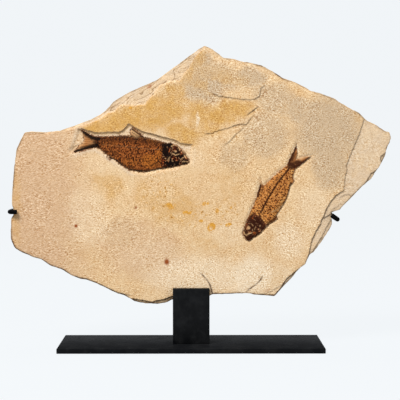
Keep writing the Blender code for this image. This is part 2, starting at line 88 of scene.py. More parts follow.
# A ledge of the face: its line, its low side for someone who walks along it, how far it drops, over what
# distance that drop fades, how much the stone slopes beyond it, its dark foot line of painted shadow and
# dirt, and its fresh stone.
NO_FADE = 400.0             # wider than the slab, so the drop hardly fades
Ledge = namedtuple("Ledge", "line low_side drop fade slope dark fresh", defaults=(NO_FADE, 0.0, 0.0, 0.0))
LEFT, RIGHT = 1, -1
CURVED_BREAK = [(139.5, 147.7), (133.8, 141.0), (130.0, 133.7), (127.6, 127.0), (125.7, 124.1),
                (124.7, 120.2), (120.4, 113.4), (116.6, 104.7), (114.3, 94.1), (112.0, 84.0), (111.0, 79.0)]
LEDGES = {
    "flaked_top": Ledge(
        [(-135.0, 208.0), (-113.0, 212.6), (-97.0, 217.4), (-87.4, 221.2), (-79.7, 227.0), (-73.9, 227.9),
         (-68.1, 234.6), (-56.0, 234.2), (-44.2, 234.6), (-42.3, 238.4), (-35.5, 245.1), (-29.8, 253.7),
         (-20.2, 257.0), (-10.6, 258.0), (-6.8, 264.2), (-2.0, 269.9), (0.8, 276.0), (6.6, 283.4),
         (13.0, 290.0)],
        LEFT, drop=0.75, slope=0.10, dark=0.12, fresh=0.85),
    "flaked_inner": Ledge(
        [(-84.0, 228.5), (-76.0, 231.5), (-68.1, 234.6), (-62.4, 238.4), (-55.7, 242.3), (-48.0, 247.0),
         (-42.2, 250.8), (-37.4, 253.7), (-28.0, 259.6)],
        LEFT, drop=0.35, slope=0.05, dark=0.29, fresh=0.35),
    "apex_right": Ledge(
        [(7.0, 287.0), (14.6, 281.5), (22.0, 275.8), (33.0, 273.4), (46.6, 271.6), (58.0, 268.6),
         (68.0, 262.4), (72.7, 254.7)],
        LEFT, drop=0.30, fade=30.0, slope=0.05, dark=0.26, fresh=0.2),
    "upper": Ledge(
        [(18.1, 247.0), (26.7, 243.2), (34.4, 242.3), (46.8, 240.4), (58.4, 239.9), (63.1, 241.3),
         (65.1, 243.2), (66.9, 250.9), (72.7, 254.7)],
        RIGHT, drop=0.35, fade=22.0, dark=0.62),
    "upper_right": Ledge(
        [(66.0, 234.2), (62.2, 231.8), (57.4, 228.4), (54.5, 226.0), (52.6, 223.2)],
        LEFT, drop=0.45, fade=18.0, dark=0.80),
    "above_snout": Ledge(
        [(60.3, 226.0), (57.4, 222.2), (55.5, 219.3), (52.7, 216.0), (46.9, 216.5), (42.1, 215.5),
         (35.4, 212.6), (27.7, 210.7), (20.0, 207.8), (11.4, 206.9)],
        LEFT, drop=0.40, fade=26.0, dark=0.62),
    "hair_line": Ledge(
        [(51.7, 215.5), (47.9, 210.7), (43.1, 206.9), (37.3, 200.2), (29.6, 194.4)],
        LEFT, drop=0.14, fade=10.0, dark=0.55),
    "right_strip": Ledge(
        [(174.0, 228.0), (170.2, 224.6), (165.9, 220.8), (162.7, 209.8), (158.9, 200.2), (153.7, 188.6),
         (149.4, 176.1), (149.5, 171.3), (148.1, 165.6), (147.2, 153.0), (144.0, 151.0), *CURVED_BREAK],
        LEFT, drop=0.75, slope=0.012, dark=0.32, fresh=0.8),
    "curved": Ledge(
        [(149.5, 151.8), (146.6, 151.3), (143.4, 150.6), *CURVED_BREAK],
        LEFT, drop=0.30, fade=9.0, dark=0.74),
    "notch": Ledge(
        [(126.0, 124.2), (126.6, 124.6), (130.0, 127.0), (133.9, 129.4), (135.8, 130.8), (140.0, 131.4)],
        RIGHT, drop=0.75, fade=30.0, slope=0.03, dark=0.55, fresh=0.4),
    "notch_chip": Ledge(
        [(133.0, 121.0), (131.0, 117.3), (124.4, 104.7), (120.5, 98.9), (116.0, 91.0)],
        LEFT, drop=0.5, slope=0.12, dark=0.55, fresh=0.2),
    "strip_groove": Ledge(
        [(142.4, 143.4), (144.4, 146.3), (148.2, 148.2), (152.0, 148.7), (154.0, 147.2)],
        RIGHT, drop=0.22, fade=6.0, dark=0.45),
    "strip_nick": Ledge(
        [(137.4, 134.9), (138.6, 135.7), (141.5, 137.1), (143.4, 140.4)],
        RIGHT, drop=0.2, fade=5.0, dark=0.4),
    "tip_chip": Ledge(
        [(190.6, 195.4), (187.4, 188.6), (182.6, 185.8), (182.1, 181.9), (184.6, 178.0)],
        LEFT, drop=0.7, slope=0.10, dark=0.6, fresh=0.3),
    "tip_chip_low": Ledge(
        [(182.0, 174.6), (178.8, 172.3), (173.1, 168.9), (171.2, 165.6), (169.3, 161.7), (166.0, 156.0)],
        LEFT, drop=0.6, slope=0.12, dark=0.75, fresh=0.3),
    "corner": Ledge(
        [(112.0, 81.2), (105.2, 76.6), (97.5, 71.7), (91.7, 66.4), (87.8, 60.1), (84.0, 54.2),
         (79.0, 48.4)],
        LEFT, drop=0.8, slope=0.10, dark=1.25, fresh=0.5),
    "corner_low": Ledge(
        [(86.0, 60.0), (80.0, 56.4), (74.0, 53.6), (66.0, 51.0)],
        LEFT, drop=0.25, fade=12.0, dark=0.35),
    "break_by_block": Ledge(
        [(6.6, 73.7), (10.4, 70.8), (14.3, 66.9), (16.7, 63.1), (18.2, 60.1), (19.1, 56.7), (20.6, 52.3),
         (22.0, 49.6)],
        LEFT, drop=0.35, fade=30.0, dark=1.4),
    "break_bottom": Ledge(
        [(52.8, 52.6), (54.0, 54.3), (56.9, 57.2), (62.7, 61.1), (67.5, 65.9), (70.4, 71.8)],
        LEFT, drop=0.25, fade=14.0, dark=1.3),
    "foot": Ledge(
        [(-14.0, 52.0), (-18.6, 50.4), (-25.3, 47.5), (-30.2, 46.3), (-37.9, 44.6), (-49.5, 46.6),
         (-57.2, 47.8), (-62.0, 48.4)],
        LEFT, drop=0.9, slope=0.25, dark=1.2, fresh=0.2),
    "left_foot": Ledge(
        [(-64.0, 52.2), (-73.7, 55.0), (-83.5, 59.6), (-93.0, 64.2), (-101.6, 67.6), (-109.0, 68.8)],
        LEFT, drop=0.35, slope=0.25, dark=0.35, fresh=0.2),
    "left_bruise": Ledge(
        [(-163.2, 205.2), (-167.8, 196.0), (-169.6, 188.0)],
        RIGHT, drop=0.35, slope=0.10, dark=0.3, fresh=0.3),
    "scratch": Ledge(
        [(-115.8, 191.0), (-112.2, 194.8), (-107.6, 198.2)],
        RIGHT, drop=0.35, fade=1.6, dark=0.5),
}

LEDGE_STEP = 0.55           # how wide a ledge's step is
SLOPE_REACH = 6.0           # how far its slope reaches
RUN_OUT = 6.0               # and over what length its ends die out
LINE_PLACE = 0.30           # its dark line lies this far beyond it
LINE_WIDTH = 0.64
STRONG_LINE = 0.3           # dark lines above this strength get the finest grid
EDGE_NEAR = 4.0             # a line that ends this close to the slab's edge runs on over it
END_FADE = 8.0              # and fades over this distance past its end

# The hollow of the left fish: a steep ledge above its back, a scraped slope under its belly.
BACK_LEDGE = [(-110.6, 211.8), (-102.7, 212.3), (-98.9, 210.2), (-92.2, 208.8), (-77.8, 209.3),
              (-69.2, 209.3), (-65.4, 211.2), (-59.6, 217.4), (-53.8, 213.6), (-47.1, 209.7),
              (-36.6, 207.2), (-26.3, 204.0), (-16.8, 202.1), (-10.4, 198.8), (-4.9, 197.7),
              (1.5, 197.6), (5.6, 196.6)]
BELLY_RIM = [(-109.0, 212.2), (-111.6, 205.0), (-114.0, 198.0), (-119.0, 191.6), (-118.6, 187.2),
             (-111.5, 186.7), (-101.9, 190.6), (-92.3, 191.5), (-84.0, 186.4), (-78.0, 181.9),
             (-66.5, 174.2), (-58.0, 168.6), (-45.0, 166.9), (-30.0, 169.4), (-16.0, 172.0), (-4.0, 175.6),
             (1.4, 178.9), (2.0, 186.0), (1.5, 196.4)]
LEFT_FLOOR = 0.9            # depth of the hollow under the left fish
RIGHT_FLOOR = 0.62
LEDGE_WIDTH = 2.3           # over what width the ledge and the scraped slope go down
SCRAPED_WIDTH = 3.4
FILM_REACH = 2.4            # how far the stain of bone reaches round a fish

# Low steps of the rough back: the seed that each one wavers by, and its line.
BACK_STEPS = {
    63: [(-120.0, 90.0), (-60.0, 120.0), (10.0, 110.0), (70.0, 150.0), (120.0, 210.0)],
    64: [(-90.0, 215.0), (-40.0, 190.0), (20.0, 215.0), (60.0, 255.0)],
}
BACK_STEP_RISE = 0.5

# Stains of the face by kind: centre, radii, tilt in degrees, strength. Flakes are the fine lines of broken
# layers, drawn with painted shade, and specks the rust dots that are sprinkled over an area.
STAINS = {
    "gold": [
        ((-46.0, 224.0), (62.0, 22.0), 12.0, 1.0), ((-88.0, 212.0), (28.0, 11.0), 8.0, 1.0),
        ((-8.0, 206.0), (24.0, 14.0), -20.0, 1.0), ((12.0, 212.0), (28.0, 16.0), 0.0, 0.55),
        ((24.0, 256.0), (54.0, 22.0), -10.0, 0.42), ((6.0, 277.0), (14.0, 14.0), 0.0, 0.6),
        ((8.0, 228.0), (24.0, 15.0), 0.0, 0.75), ((-170.0, 136.0), (9.0, 70.0), 0.0, 0.40),
        ((36.0, 228.0), (32.0, 15.0), 12.0, 1.0), ((9.5, 282.0), (8.0, 6.0), 20.0, 0.7),
        ((0.0, 272.0), (6.0, 9.0), -30.0, 0.7), ((-6.0, 262.0), (9.0, 16.0), -25.0, 0.5),
        ((-22.0, 248.0), (16.0, 8.0), 30.0, 0.55), ((112.0, 246.0), (50.0, 6.0), -24.0, 0.25),
        ((160.0, 224.0), (7.0, 12.0), 30.0, 0.30), ((-80.0, 158.0), (24.0, 22.0), -10.0, 0.45),
        ((-18.0, 136.0), (44.0, 28.0), -14.0, 0.40), ((-46.0, 150.0), (14.0, 20.0), 0.0, 0.35),
        ((24.0, 136.0), (22.0, 22.0), 0.0, 0.18), ((20.0, 104.0), (30.0, 12.0), 10.0, 0.30),
        ((76.0, 70.0), (20.0, 16.0), 0.0, 0.5), ((100.0, 118.0), (22.0, 30.0), -20.0, 0.12),
        ((38.0, 160.0), (26.0, 30.0), 0.0, 0.28), ((-96.0, 92.0), (40.0, 16.0), -18.0, 0.22),
        ((-17.0, 245.0), (20.0, 13.0), 20.0, 0.7)],
    "grey": [
        ((8.0, 276.0), (17.0, 15.0), 0.0, 1.0), ((24.0, 262.0), (42.0, 20.0), -12.0, 0.65),
        ((-18.0, 246.0), (20.0, 14.0), 20.0, 0.45), ((132.0, 212.0), (48.0, 50.0), 10.0, 0.85),
        ((134.0, 174.0), (26.0, 34.0), 5.0, 0.75), ((72.0, 206.0), (36.0, 34.0), 0.0, 0.60),
        ((82.0, 240.0), (34.0, 22.0), -20.0, 0.65), ((12.0, 254.0), (32.0, 26.0), 0.0, 1.0),
        ((58.0, 260.0), (28.0, 14.0), -12.0, 0.8), ((104.0, 230.0), (22.0, 20.0), 0.0, 0.75),
        ((42.0, 186.0), (24.0, 26.0), 0.0, 0.45), ((-70.0, 112.0), (34.0, 24.0), 0.0, 0.30)],
    "blush": [
        ((-52.0, 96.0), (74.0, 44.0), -14.0, 0.55)],
    "pale": [
        ((84.0, 66.0), (22.0, 22.0), 0.0, 0.5), ((118.0, 138.0), (22.0, 30.0), 0.0, 0.40),
        ((4.0, 70.0), (68.0, 26.0), 0.0, 0.70), ((58.0, 70.0), (34.0, 26.0), 20.0, 1.0),
        ((37.0, 110.0), (22.0, 16.0), 0.0, 0.35), ((96.0, 104.0), (22.0, 26.0), 0.0, 0.6),
        ((4.6, 220.0), (1.9, 12.0), 0.0, 0.9), ((5.0, 184.0), (10.0, 13.0), 0.0, 0.25),
        ((34.0, 66.0), (34.0, 16.0), -8.0, 0.75), ((-84.0, 176.0), (24.0, 11.0), -24.0, 0.2),
        ((-100.0, 128.0), (26.0, 42.0), 0.0, 0.35), ((-40.0, 88.0), (40.0, 22.0), 0.0, 0.25),
        ((172.0, 196.0), (16.0, 28.0), -20.0, 0.3)],
    "brown": [
        ((-111.0, 118.4), (2.3, 2.3), 0.0, 1.0), ((-23.6, 83.5), (3.4, 4.0), 0.0, 1.0),
        ((-53.2, 136.0), (1.9, 1.9), 0.0, 0.75), ((-36.8, 110.6), (0.8, 0.8), 0.0, 0.6),
        ((-31.9, 158.4), (1.0, 1.0), 0.0, 0.6), ((74.0, 56.0), (5.5, 2.0), 25.0, 0.25),
        ((-39.8, 252.4), (4.0, 2.2), 35.0, 0.55)],
    "rust": [
        ((19.6, 117.2), (4.6, 6.2), -35.0, 1.0), ((36.0, 119.6), (4.2, 2.2), 10.0, 1.0),
        ((28.6, 120.2), (2.2, 1.2), 0.0, 0.6), ((9.5, 123.2), (3.4, 2.4), 0.0, 0.5),
        ((-4.0, 131.0), (6.0, 2.6), 0.0, 0.75), ((-20.0, 138.0), (7.0, 4.0), -20.0, 0.6),
        ((14.0, 140.0), (6.0, 3.0), 10.0, 0.5), ((25.0, 133.0), (3.0, 4.0), 0.0, 0.45),
        ((38.5, 136.0), (1.6, 1.8), 0.0, 0.5), ((-58.0, 232.0), (3.0, 1.4), 10.0, 0.6),
        ((115.2, 185.4), (3.4, 1.4), 30.0, 0.25)],
    "specks": [
        ((-30.0, 150.0), (26.0, 26.0), 0.0, 1.0), ((-6.0, 132.0), (36.0, 20.0), -14.0, 1.0),
        ((34.0, 134.0), (22.0, 14.0), 0.0, 0.8)],
    "flakes": [
        ((-56.0, 244.0), (100.0, 34.0), 32.0, 1.0)],
}
SMALL_SPOT = 7.0            # spots with a smaller first radius get the finest grid
STILL_SPOT = 8.0            # smaller spots keep their rims, larger ones have wavering rims


# ------------------------------------------------------------ places and lines
def smooth_step(share):
    """0 below 0, 1 above 1, and smooth between them."""
    share = np.clip(share, 0.0, 1.0)
    return share * share * (3.0 - 2.0 * share)


def ramp(value, start, over):
    """0 up to a start, rising smoothly to 1 over a distance past it."""
    return smooth_step((value - start) / over)


def bell(gap, width):
    """1 at no gap, about a third at one width, and soon nothing."""
    return np.exp(-(gap / width) ** 2)


def mottle(spots, size, seed, octaves=3):
    """Seeded noise over places in mm, about -1 to 1, in lumps of a size in mm."""
    return np.array([noise.fractal((x / size, z / size, 7.31 * seed), 1.0, 2.0, octaves) for x, z in spots])


def waver(spots, reach, size, seeds):
    """Places moved about by noise, by about a reach in mm, for lines and rims that aren't drawn clean."""
    return spots + reach * np.column_stack([mottle(spots, size, seed) for seed in seeds])


def follow(spots, line):
    """Distance of each place to a line, the side it lies on, how far along it's met, the line's length."""
    closest = np.full(len(spots), np.inf)
    gap = np.zeros(len(spots))
    side = np.ones(len(spots))
    met = np.zeros(len(spots))
    travelled = 0.0
    for start, end in zip(np.array(line[:-1]), np.array(line[1:])):
        step = end - start
        length = np.hypot(*step)
        away = spots - start
        share = np.clip(away @ step / length ** 2, 0.0, 1.0)
        offset = away - share[:, None] * step
        distance = np.hypot(offset[:, 0], offset[:, 1])
        across = (step[0] * away[:, 1] - step[1] * away[:, 0]) / length
        score = distance - 1e-4 * np.abs(across)
        nearer = score < closest
        closest[nearer] = score[nearer]
        gap[nearer] = distance[nearer]
        side[nearer] = np.where(across[nearer] < 0.0, -1.0, 1.0)
        met[nearer] = travelled + share[nearer] * length
        travelled += length
    return gap, side, met, travelled


def gap_to(spots, line):
    """Distance of each place to a line."""
    return follow(spots, line)[0]


def closed(loop):
    """A closed line, with its first point again at its end."""
    return np.vstack([loop, loop[:1]])


def within(spots, loop):
    """Which places lie inside a closed outline."""
    inside = np.zeros(len(spots), bool)
    for (x0, z0), (x1, z1) in zip(loop, np.roll(loop, -1, axis=0)):
        crosses = (spots[:, 1] < z0) != (spots[:, 1] < z1)
        if z0 != z1:
            inside ^= crosses & (spots[:, 0] < x0 + (spots[:, 1] - z0) * (x1 - x0) / (z1 - z0))
    return inside


def soft_spot(spots, centre, radii, tilt=0.0):
    """1 in the middle of an oval patch, falling smoothly to 0 at its rim."""
    turn = math.radians(tilt)
    away = spots - np.array(centre)
    along = (away[:, 0] * math.cos(turn) + away[:, 1] * math.sin(turn)) / radii[0]
    across = (away[:, 1] * math.cos(turn) - away[:, 0] * math.sin(turn)) / radii[1]
    return smooth_step(1.6 * (1.0 - np.hypot(along, across)))


def even_steps(loop, step):
    """A closed outline as points an even step apart, with its corners worn a little round."""
    line = closed(loop)
    travelled = np.concatenate([[0.0], np.cumsum(np.hypot(*np.diff(line, axis=0).T))])
    count = int(travelled[-1] / step)
    at = np.arange(count) * travelled[-1] / count
    points = np.column_stack([np.interp(at, travelled, line[:, i]) for i in (0, 1)])
    return (np.roll(points, 1, axis=0) + 2.0 * points + np.roll(points, -1, axis=0)) / 4.0


def inward(loop):
    """Unit vectors that point into a clockwise outline at each of its points."""
    along = np.roll(loop, -3, axis=0) - np.roll(loop, 3, axis=0)
    across = np.column_stack([along[:, 1], -along[:, 0]])
    return across / np.hypot(*across.T)[:, None]


# ------------------------------------------------------------------ mesh tools
def verts_of(parts):
    """The vertices among what an operator has made."""
    return [part for part in parts if isinstance(part, bmesh.types.BMVert)]


def edges_of(parts):
    """The edges among what an operator has made."""
    return [part for part in parts if isinstance(part, bmesh.types.BMEdge)]


def each_once(parts):
    """Parts without repeats, in the order in which they first come."""
    return list(dict.fromkeys(parts))


def cut(bm, place, facing, **cleared):
    """Cut everything in a bmesh along a plane, and give the parts that lie on the cut."""
    everything = bm.verts[:] + bm.edges[:] + bm.faces[:]
    return bmesh.ops.bisect_plane(bm, geom=everything, dist=1e-7, plane_co=place, plane_no=facing,
                                  **cleared)["geom_cut"]


def section(node, y):
    """Longest outline, clockwise, of a solid of the frame cut square to Y at y, in mm."""
    bm = bmesh.new()
    bm.from_mesh(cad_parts[node].data)
    bmesh.ops.remove_doubles(bm, verts=bm.verts, dist=0.001 * MM)
    corners = verts_of(cut(bm, (0.0, y * MM, 0.0), (0.0, 1.0, 0.0), clear_inner=True, clear_outer=True))
    todo = dict.fromkeys(sorted(corners, key=lambda vert: (vert.co.x, vert.co.z)))
    loops = []
    while todo:
        loop = [next(iter(todo))]
        del todo[loop[0]]
        while True:
            onward = [edge.other_vert(loop[-1]) for edge in loop[-1].link_edges]
            onward = sorted((vert for vert in onward if vert in todo), key=lambda vert: vert.co.z)
            if not onward:
                break
            loop.append(onward[-1])
            del todo[onward[-1]]
        loops.append(np.array([(vert.co.x / MM, vert.co.z / MM) for vert in loop]))
    bm.free()
    longest = max(loops, key=lambda loop: np.hypot(*np.diff(closed(loop), axis=0).T).sum())
    ahead = np.roll(longest, -1, axis=0)
    area = np.sum(longest[:, 0] * ahead[:, 1] - longest[:, 1] * ahead[:, 0])
    return longest[::-1] if area > 0.0 else longest


def ring_edges(bm, ring):
    """Edges of a closed ring of vertices, in its order."""
    return [bm.edges.get(pair) for pair in zip(ring, ring[1:] + ring[:1])]


def move_ring(ring, spots, heights):
    """Put a ring's vertices at places, at a y in mm for each."""
    for vert, (x, z), y in zip(ring, spots, heights):
        vert.co = (x * MM, y * MM, z * MM)


def first_ring(bm, spots, heights):
    """Closed ring of edges through places, at a y in mm for each."""
    circle = bmesh.ops.create_circle(bm, segments=len(spots), radius=1.0)["verts"]
    ring = sorted(circle, key=lambda vert: math.atan2(vert.co.y, vert.co.x))
    move_ring(ring, spots, heights)
    return ring


def next_ring(bm, ring, spots, heights):
    """Extrude a ring of edges and move the new ring to its own places."""
    fresh = set(verts_of(bmesh.ops.extrude_edge_only(bm, edges=ring_edges(bm, ring))["geom"]))
    moved = [next(edge.other_vert(vert) for edge in vert.link_edges if edge.other_vert(vert) in fresh)
             for vert in ring]
    move_ring(moved, spots, heights)
    return moved


def places(verts):
    """Where vertices lie on the face, in mm."""
    return np.array([(vert.co.x, vert.co.z) for vert in verts]) / MM


def in_plane(bm, y):
    """Vertices of the grid that lies at a y in mm."""
    return [vert for vert in bm.verts if abs(vert.co.y - y * MM) < 1e-7]


def trim_grid(bm, outline, y, room):
    """Take away the part of a grid that is outside an outline or within some room of it."""
    verts = in_plane(bm, y)
    spots = places(verts)
    gap = gap_to(spots, closed(outline))
    gone = np.where(within(spots, outline), gap, -gap) < room
    bmesh.ops.delete(bm, geom=[vert for vert, out in zip(verts, gone) if out], context="VERTS")


def refine_grid(bm, y, lines, reach):
    """Halve the cells of a grid that lie within reach of some lines."""
    faces = each_once(face for vert in in_plane(bm, y) for face in vert.link_faces)
    centres = np.array([face.calc_center_median() for face in faces])[:, (0, 2)] / MM
    near = np.min([gap_to(centres, line) for line in lines], axis=0) < reach
    edges = each_once(edge for face, chosen in zip(faces, near) if chosen for edge in face.edges)
    bmesh.ops.subdivide_edges(bm, edges=edges, cuts=1, use_grid_fill=True)


def lay_grid(bm, outline, y, cell, margin, finer):
    """Flat grid that fills an outline up to a margin, cut finer near the given lines."""
    spare = 1.3 * cell
    low = outline.min(axis=0) - spare
    counts = np.ceil((outline.max(axis=0) - low) / cell).astype(int) + 1
    size = counts * cell
    middle = low + size / 2.0
    place = (Matrix.Translation((middle[0] * MM, y * MM, middle[1] * MM))
             @ Matrix.Rotation(math.pi / 2, 4, "X")
             @ Matrix.Diagonal((size[0] * MM, size[1] * MM, 1.0, 1.0)))
    bmesh.ops.create_grid(bm, x_segments=int(counts[0]), y_segments=int(counts[1]), size=0.5, matrix=place)
    trim_grid(bm, outline, y, -spare)
    for lines, reach in finer:
        refine_grid(bm, y, lines, reach)
    trim_grid(bm, outline, y, margin)
    while True:
        loose = [vert for vert in in_plane(bm, y) if not vert.link_faces
                 or sum(edge.is_boundary for edge in vert.link_edges) not in (0, 2)]
        if not loose:
            break
        bmesh.ops.delete(bm, geom=loose, context="VERTS")


def fill_with_triangles(bm, edges, facing):
    """Close the gap between loops of edges with triangles."""
    bmesh.ops.triangle_fill(bm, edges=edges, use_beauty=True, normal=(0.0, facing, 0.0))


def stitch(bm, ring, inner):
    """Join the edge of a grid to the ring round it."""
    rim = [edge for vert in inner for edge in vert.link_edges if edge.is_boundary]
    fill_with_triangles(bm, each_once(rim + ring_edges(bm, ring)), -1.0)


def triangles_for_large_faces(bm):
    """Split the faces with more than four corners that cutting a grid leaves."""
    bmesh.ops.triangulate(bm, faces=[face for face in bm.faces if len(face.verts) > 4])


def put_in_scene(name, data):
    """New object at the origin, unturned and unscaled."""
    made = bpy.data.objects.new(name, data)
    bpy.context.scene.collection.objects.link(made)
    return made


def smooth_mesh(bm, name):
    """Smoothly shaded mesh from a bmesh, which is used up."""
    mesh = bpy.data.meshes.new(name)
    bm.to_mesh(mesh)
    bm.free()
    mesh.shade_smooth()
    return mesh


def as_piece(bm, name, sharp):
    """Finished piece from a bmesh: outward faces, smooth but for corners above an angle in degrees."""
    bmesh.ops.recalc_face_normals(bm, faces=bm.faces)
    mesh = smooth_mesh(bm, name)
    mesh.set_sharp_from_angle(angle=math.radians(sharp))
    piece = put_in_scene(name, mesh)
    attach(piece, "root")
    return piece


def mesh_places(mesh):
    """Every vertex of a mesh, in mm."""
    flat = np.zeros(len(mesh.vertices) * 3)
    mesh.vertices.foreach_get("co", flat)
    return flat.reshape(-1, 3) / MM


def paint(mesh, name, values):
    """Keep one number for each vertex, for the finishes to read."""
    layer = mesh.attributes.new(name, "FLOAT", "POINT")
    layer.data.foreach_set("value", np.clip(values, 0.0, 1.0).astype(np.float32))


# ------------------------------------------------------------------------ slab
SLAB_OUTLINE = section("slab", FACE_Y + WIDEST_BED)


def fish_outlines(height):
    """Outline of each fish, cut at a height above its underside."""
    return {node: section(node, in_mm(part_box(node))[1][1] - height) for node in ("left_fish", "right_fish")}


FIN_OUTLINES = fish_outlines(0.53)      # with the fins and the tail
BODY_OUTLINES = fish_outlines(1.13)     # the crowned body alone


def reaches_edge(place):
    """Whether a line's end runs out at the slab's edge."""
    spot = np.array([place])
    return not within(spot, SLAB_OUTLINE)[0] or gap_to(spot, closed(SLAB_OUTLINE))[0] < EDGE_NEAR


def ledge_parts(spots, ledge):
    """How far down a ledge takes each place, its dark foot line of painted shadow and dirt, and its fresh
    stone.
    """
    gap, side, met, length = follow(spots, ledge.line)
    run_out = min(RUN_OUT, 0.25 * length)
    taper = np.ones(len(spots))
    for end, travelled in ((ledge.line[0], met), (ledge.line[-1], length - met)):
        if reaches_edge(end):
            taper *= np.where(travelled <= 0.0, 1.0 - smooth_step(gap / END_FADE), 1.0)
        else:
            taper *= smooth_step(travelled / run_out)
    beyond = gap * side * ledge.low_side
    crossed = smooth_step(beyond / LEDGE_STEP + 0.35)
    down = crossed * taper * (ledge.drop * np.exp(-np.maximum(beyond, 0.0) / ledge.fade)
                              + ledge.slope * np.clip(beyond, 0.0, SLOPE_REACH))
    # The foot line is painted shadow and dirt just past the ledge's step.
    foot = ledge.dark * taper * bell(beyond - LINE_PLACE, LINE_WIDTH)
    return down, foot, ledge.fresh * crossed * taper


def left_hollow(spots):
    """Depth of the left fish's hollow, its dark line of painted shadow, its painted shade, and its scraped
    stone, which is partly a painted highlight.
    """
    x = spots[:, 0]
    inside = within(spots, np.array(BACK_LEDGE[1:-1] + BELLY_RIM[::-1]))
    to_ledge = gap_to(spots, BACK_LEDGE)
    to_rim = gap_to(spots, BELLY_RIM)
    slope = smooth_step(to_rim / SCRAPED_WIDTH)
    depth = np.where(inside, LEFT_FLOOR * smooth_step(to_ledge / LEDGE_WIDTH) * slope, 0.0)
    depth += np.where(inside, 0.2 * slope * bell(to_ledge - 2.6, 1.3), 0.0)
    steep = ramp(np.abs(x + 82.0), 0.0, 18.0) * (1.0 - 0.5 * ramp(x, -28.0, 20.0))
    # The dark foot line under the ledge above the back is painted shadow.
    foot = np.where(inside, (0.15 + 0.7 * steep) * bell(to_ledge - 0.4, 0.6), 0.0)
    # The shade is painted shade on the ledge's slope, which faces down.
    shade = np.where(inside, smooth_step(to_rim / 1.2) * bell(to_ledge - 0.9, 1.4), 0.0)
    tail_end = 1.0 - ramp(x, -62.0, 14.0)
    # The pale bands at the belly's rim and above the back are scraped stone and also a painted highlight;
    # they join the fresh stone.
    rim_light = bell(to_rim - 0.4, 1.7) * (0.18 + 0.72 * tail_end) * ramp(x, -118.0, 6.0)
    lit_band_above_back = ramp(to_ledge, 2.1, 0.9) * np.exp(-np.maximum(to_ledge - 3.6, 0.0) / 3.0)
    fresh = np.maximum(rim_light, np.where(inside, slope * (0.15 + lit_band_above_back), 0.0))
    return depth, foot, shade, fresh


def right_hollow(spots):
    """Depth of the shallow hollow round the right fish, and its scraped stone."""
    outline = FIN_OUTLINES["right_fish"]
    out = np.where(within(spots, outline), 0.0, gap_to(spots, closed(outline)))
    return RIGHT_FLOOR * (1.0 - ramp(out, 0.3, 1.7)), 0.12 * (1.0 - ramp(out, 0.6, 2.4))


def face_form(spots):
    """Depth of the face at each place, its marks for the finish, and how far the slab's edge is."""
    from_edge = gap_to(spots, closed(SLAB_OUTLINE))
    depth = SKIN_ROOM + 0.22 * (1.0 + mottle(spots, 60.0, 1)) + 0.07 * (1.0 + mottle(spots, 9.0, 2, 4))
    dark = np.zeros(len(spots))
    fresh = np.zeros(len(spots))
    bent = waver(spots, 0.55, 2.8, (6, 7))
    for ledge in LEDGES.values():
        down, foot, bare = ledge_parts(bent, ledge)
        depth += down
        dark = np.maximum(dark, foot)
        fresh = np.maximum(fresh, bare)
    down, foot, shade, scraped = left_hollow(bent)
    right_down, right_scraped = right_hollow(bent)
    depth += down + right_down
    dark = np.maximum(dark, foot) * np.clip(0.85 + 0.55 * mottle(spots, 5.0, 8), 0.3, 1.2)
    # Painted shade along the rim of the face: dark in places, more so low down, and less on fresh stone.
    low = smooth_step((130.0 - spots[:, 1]) / 60.0)
    broken = np.clip(0.35 + 0.45 * low + 0.9 * mottle(spots, 11.0, 9), 0.1, 1.0) * (1.0 - 0.5 * fresh)
    dark = np.maximum(dark, broken * (1.0 - ramp(from_edge, 1.25, 0.9)))
    # The fresh stone takes in the painted highlight of the left fish's hollow.
    fresh = np.maximum(fresh, np.maximum(scraped, right_scraped))
    chips = np.clip(0.55 + 0.6 * mottle(spots, 6.0, 5), 0.15, 1.2) * np.exp(-from_edge / 1.1)
    depth += chips
    return depth, {"shadow_and_dirt_line": dark, "shade": shade, "fresh": fresh}, from_edge


def edge_setback(depth, loop, bed_noise):
    """How far inside the outline the slab's broken edge lies, at a depth for each rim point.

    Each bed has its own edge, with a groove where it starts; fine laminae lie over all of them.
    """
    setback = np.zeros(len(loop))
    ends = [start for start, _ in BEDS[1:]] + [THICKNESS + 1.0]
    for i, ((start, back), end) in enumerate(zip(BEDS, ends)):
        share = 1.0 - smooth_step((depth - end) / BED_STEP + 0.5)
        if i > 0:
            share *= smooth_step((depth - start) / BED_STEP + 0.5)
        setback += share * np.clip(back + bed_noise[i], 0.0, 4.0)
        if i > 0:
            setback += GROOVE_DEPTH * bell(depth - start, GROOVE_HEIGHT)
    laminae = [noise.noise((x / 9.0, z / 9.0, down / 0.55)) for (x, z), down in zip(loop, depth)]
    setback += 0.22 * np.array(laminae) + EDGE_BEVEL * smooth_step((depth - THICKNESS + 0.9) / 0.9) ** 2
    return np.clip(setback, 0.0, MOST_SETBACK)


def rim_shapes():
    """Places and depths of every ring of the slab's broken edge, from the face to the back."""
    loop = even_steps(SLAB_OUTLINE, RIM_STEP)
    inwards = inward(loop)
    loop = loop + inwards * (SKIN_ROOM + 0.30 * (1.0 + mottle(loop, 8.0, 11)) * 0.5)[:, None]
    bed_noise = [0.75 * mottle(loop, 15.0, 20 + i) + 0.4 * mottle(loop, 4.0, 30 + i)
                 for i in range(len(BEDS))]
    depth = face_form(loop + inwards * BEDS[0][1])[0]
    rings = []
    for level in [0.0] + WALL_DEPTHS:
        depth = np.minimum(np.maximum(depth + 0.02, level), THICKNESS - BACK_ROOM) if rings else depth
        spots = loop + inwards * edge_setback(depth, loop, bed_noise)[:, None]
        rings.append((spots, FACE_Y + depth))
    return rings


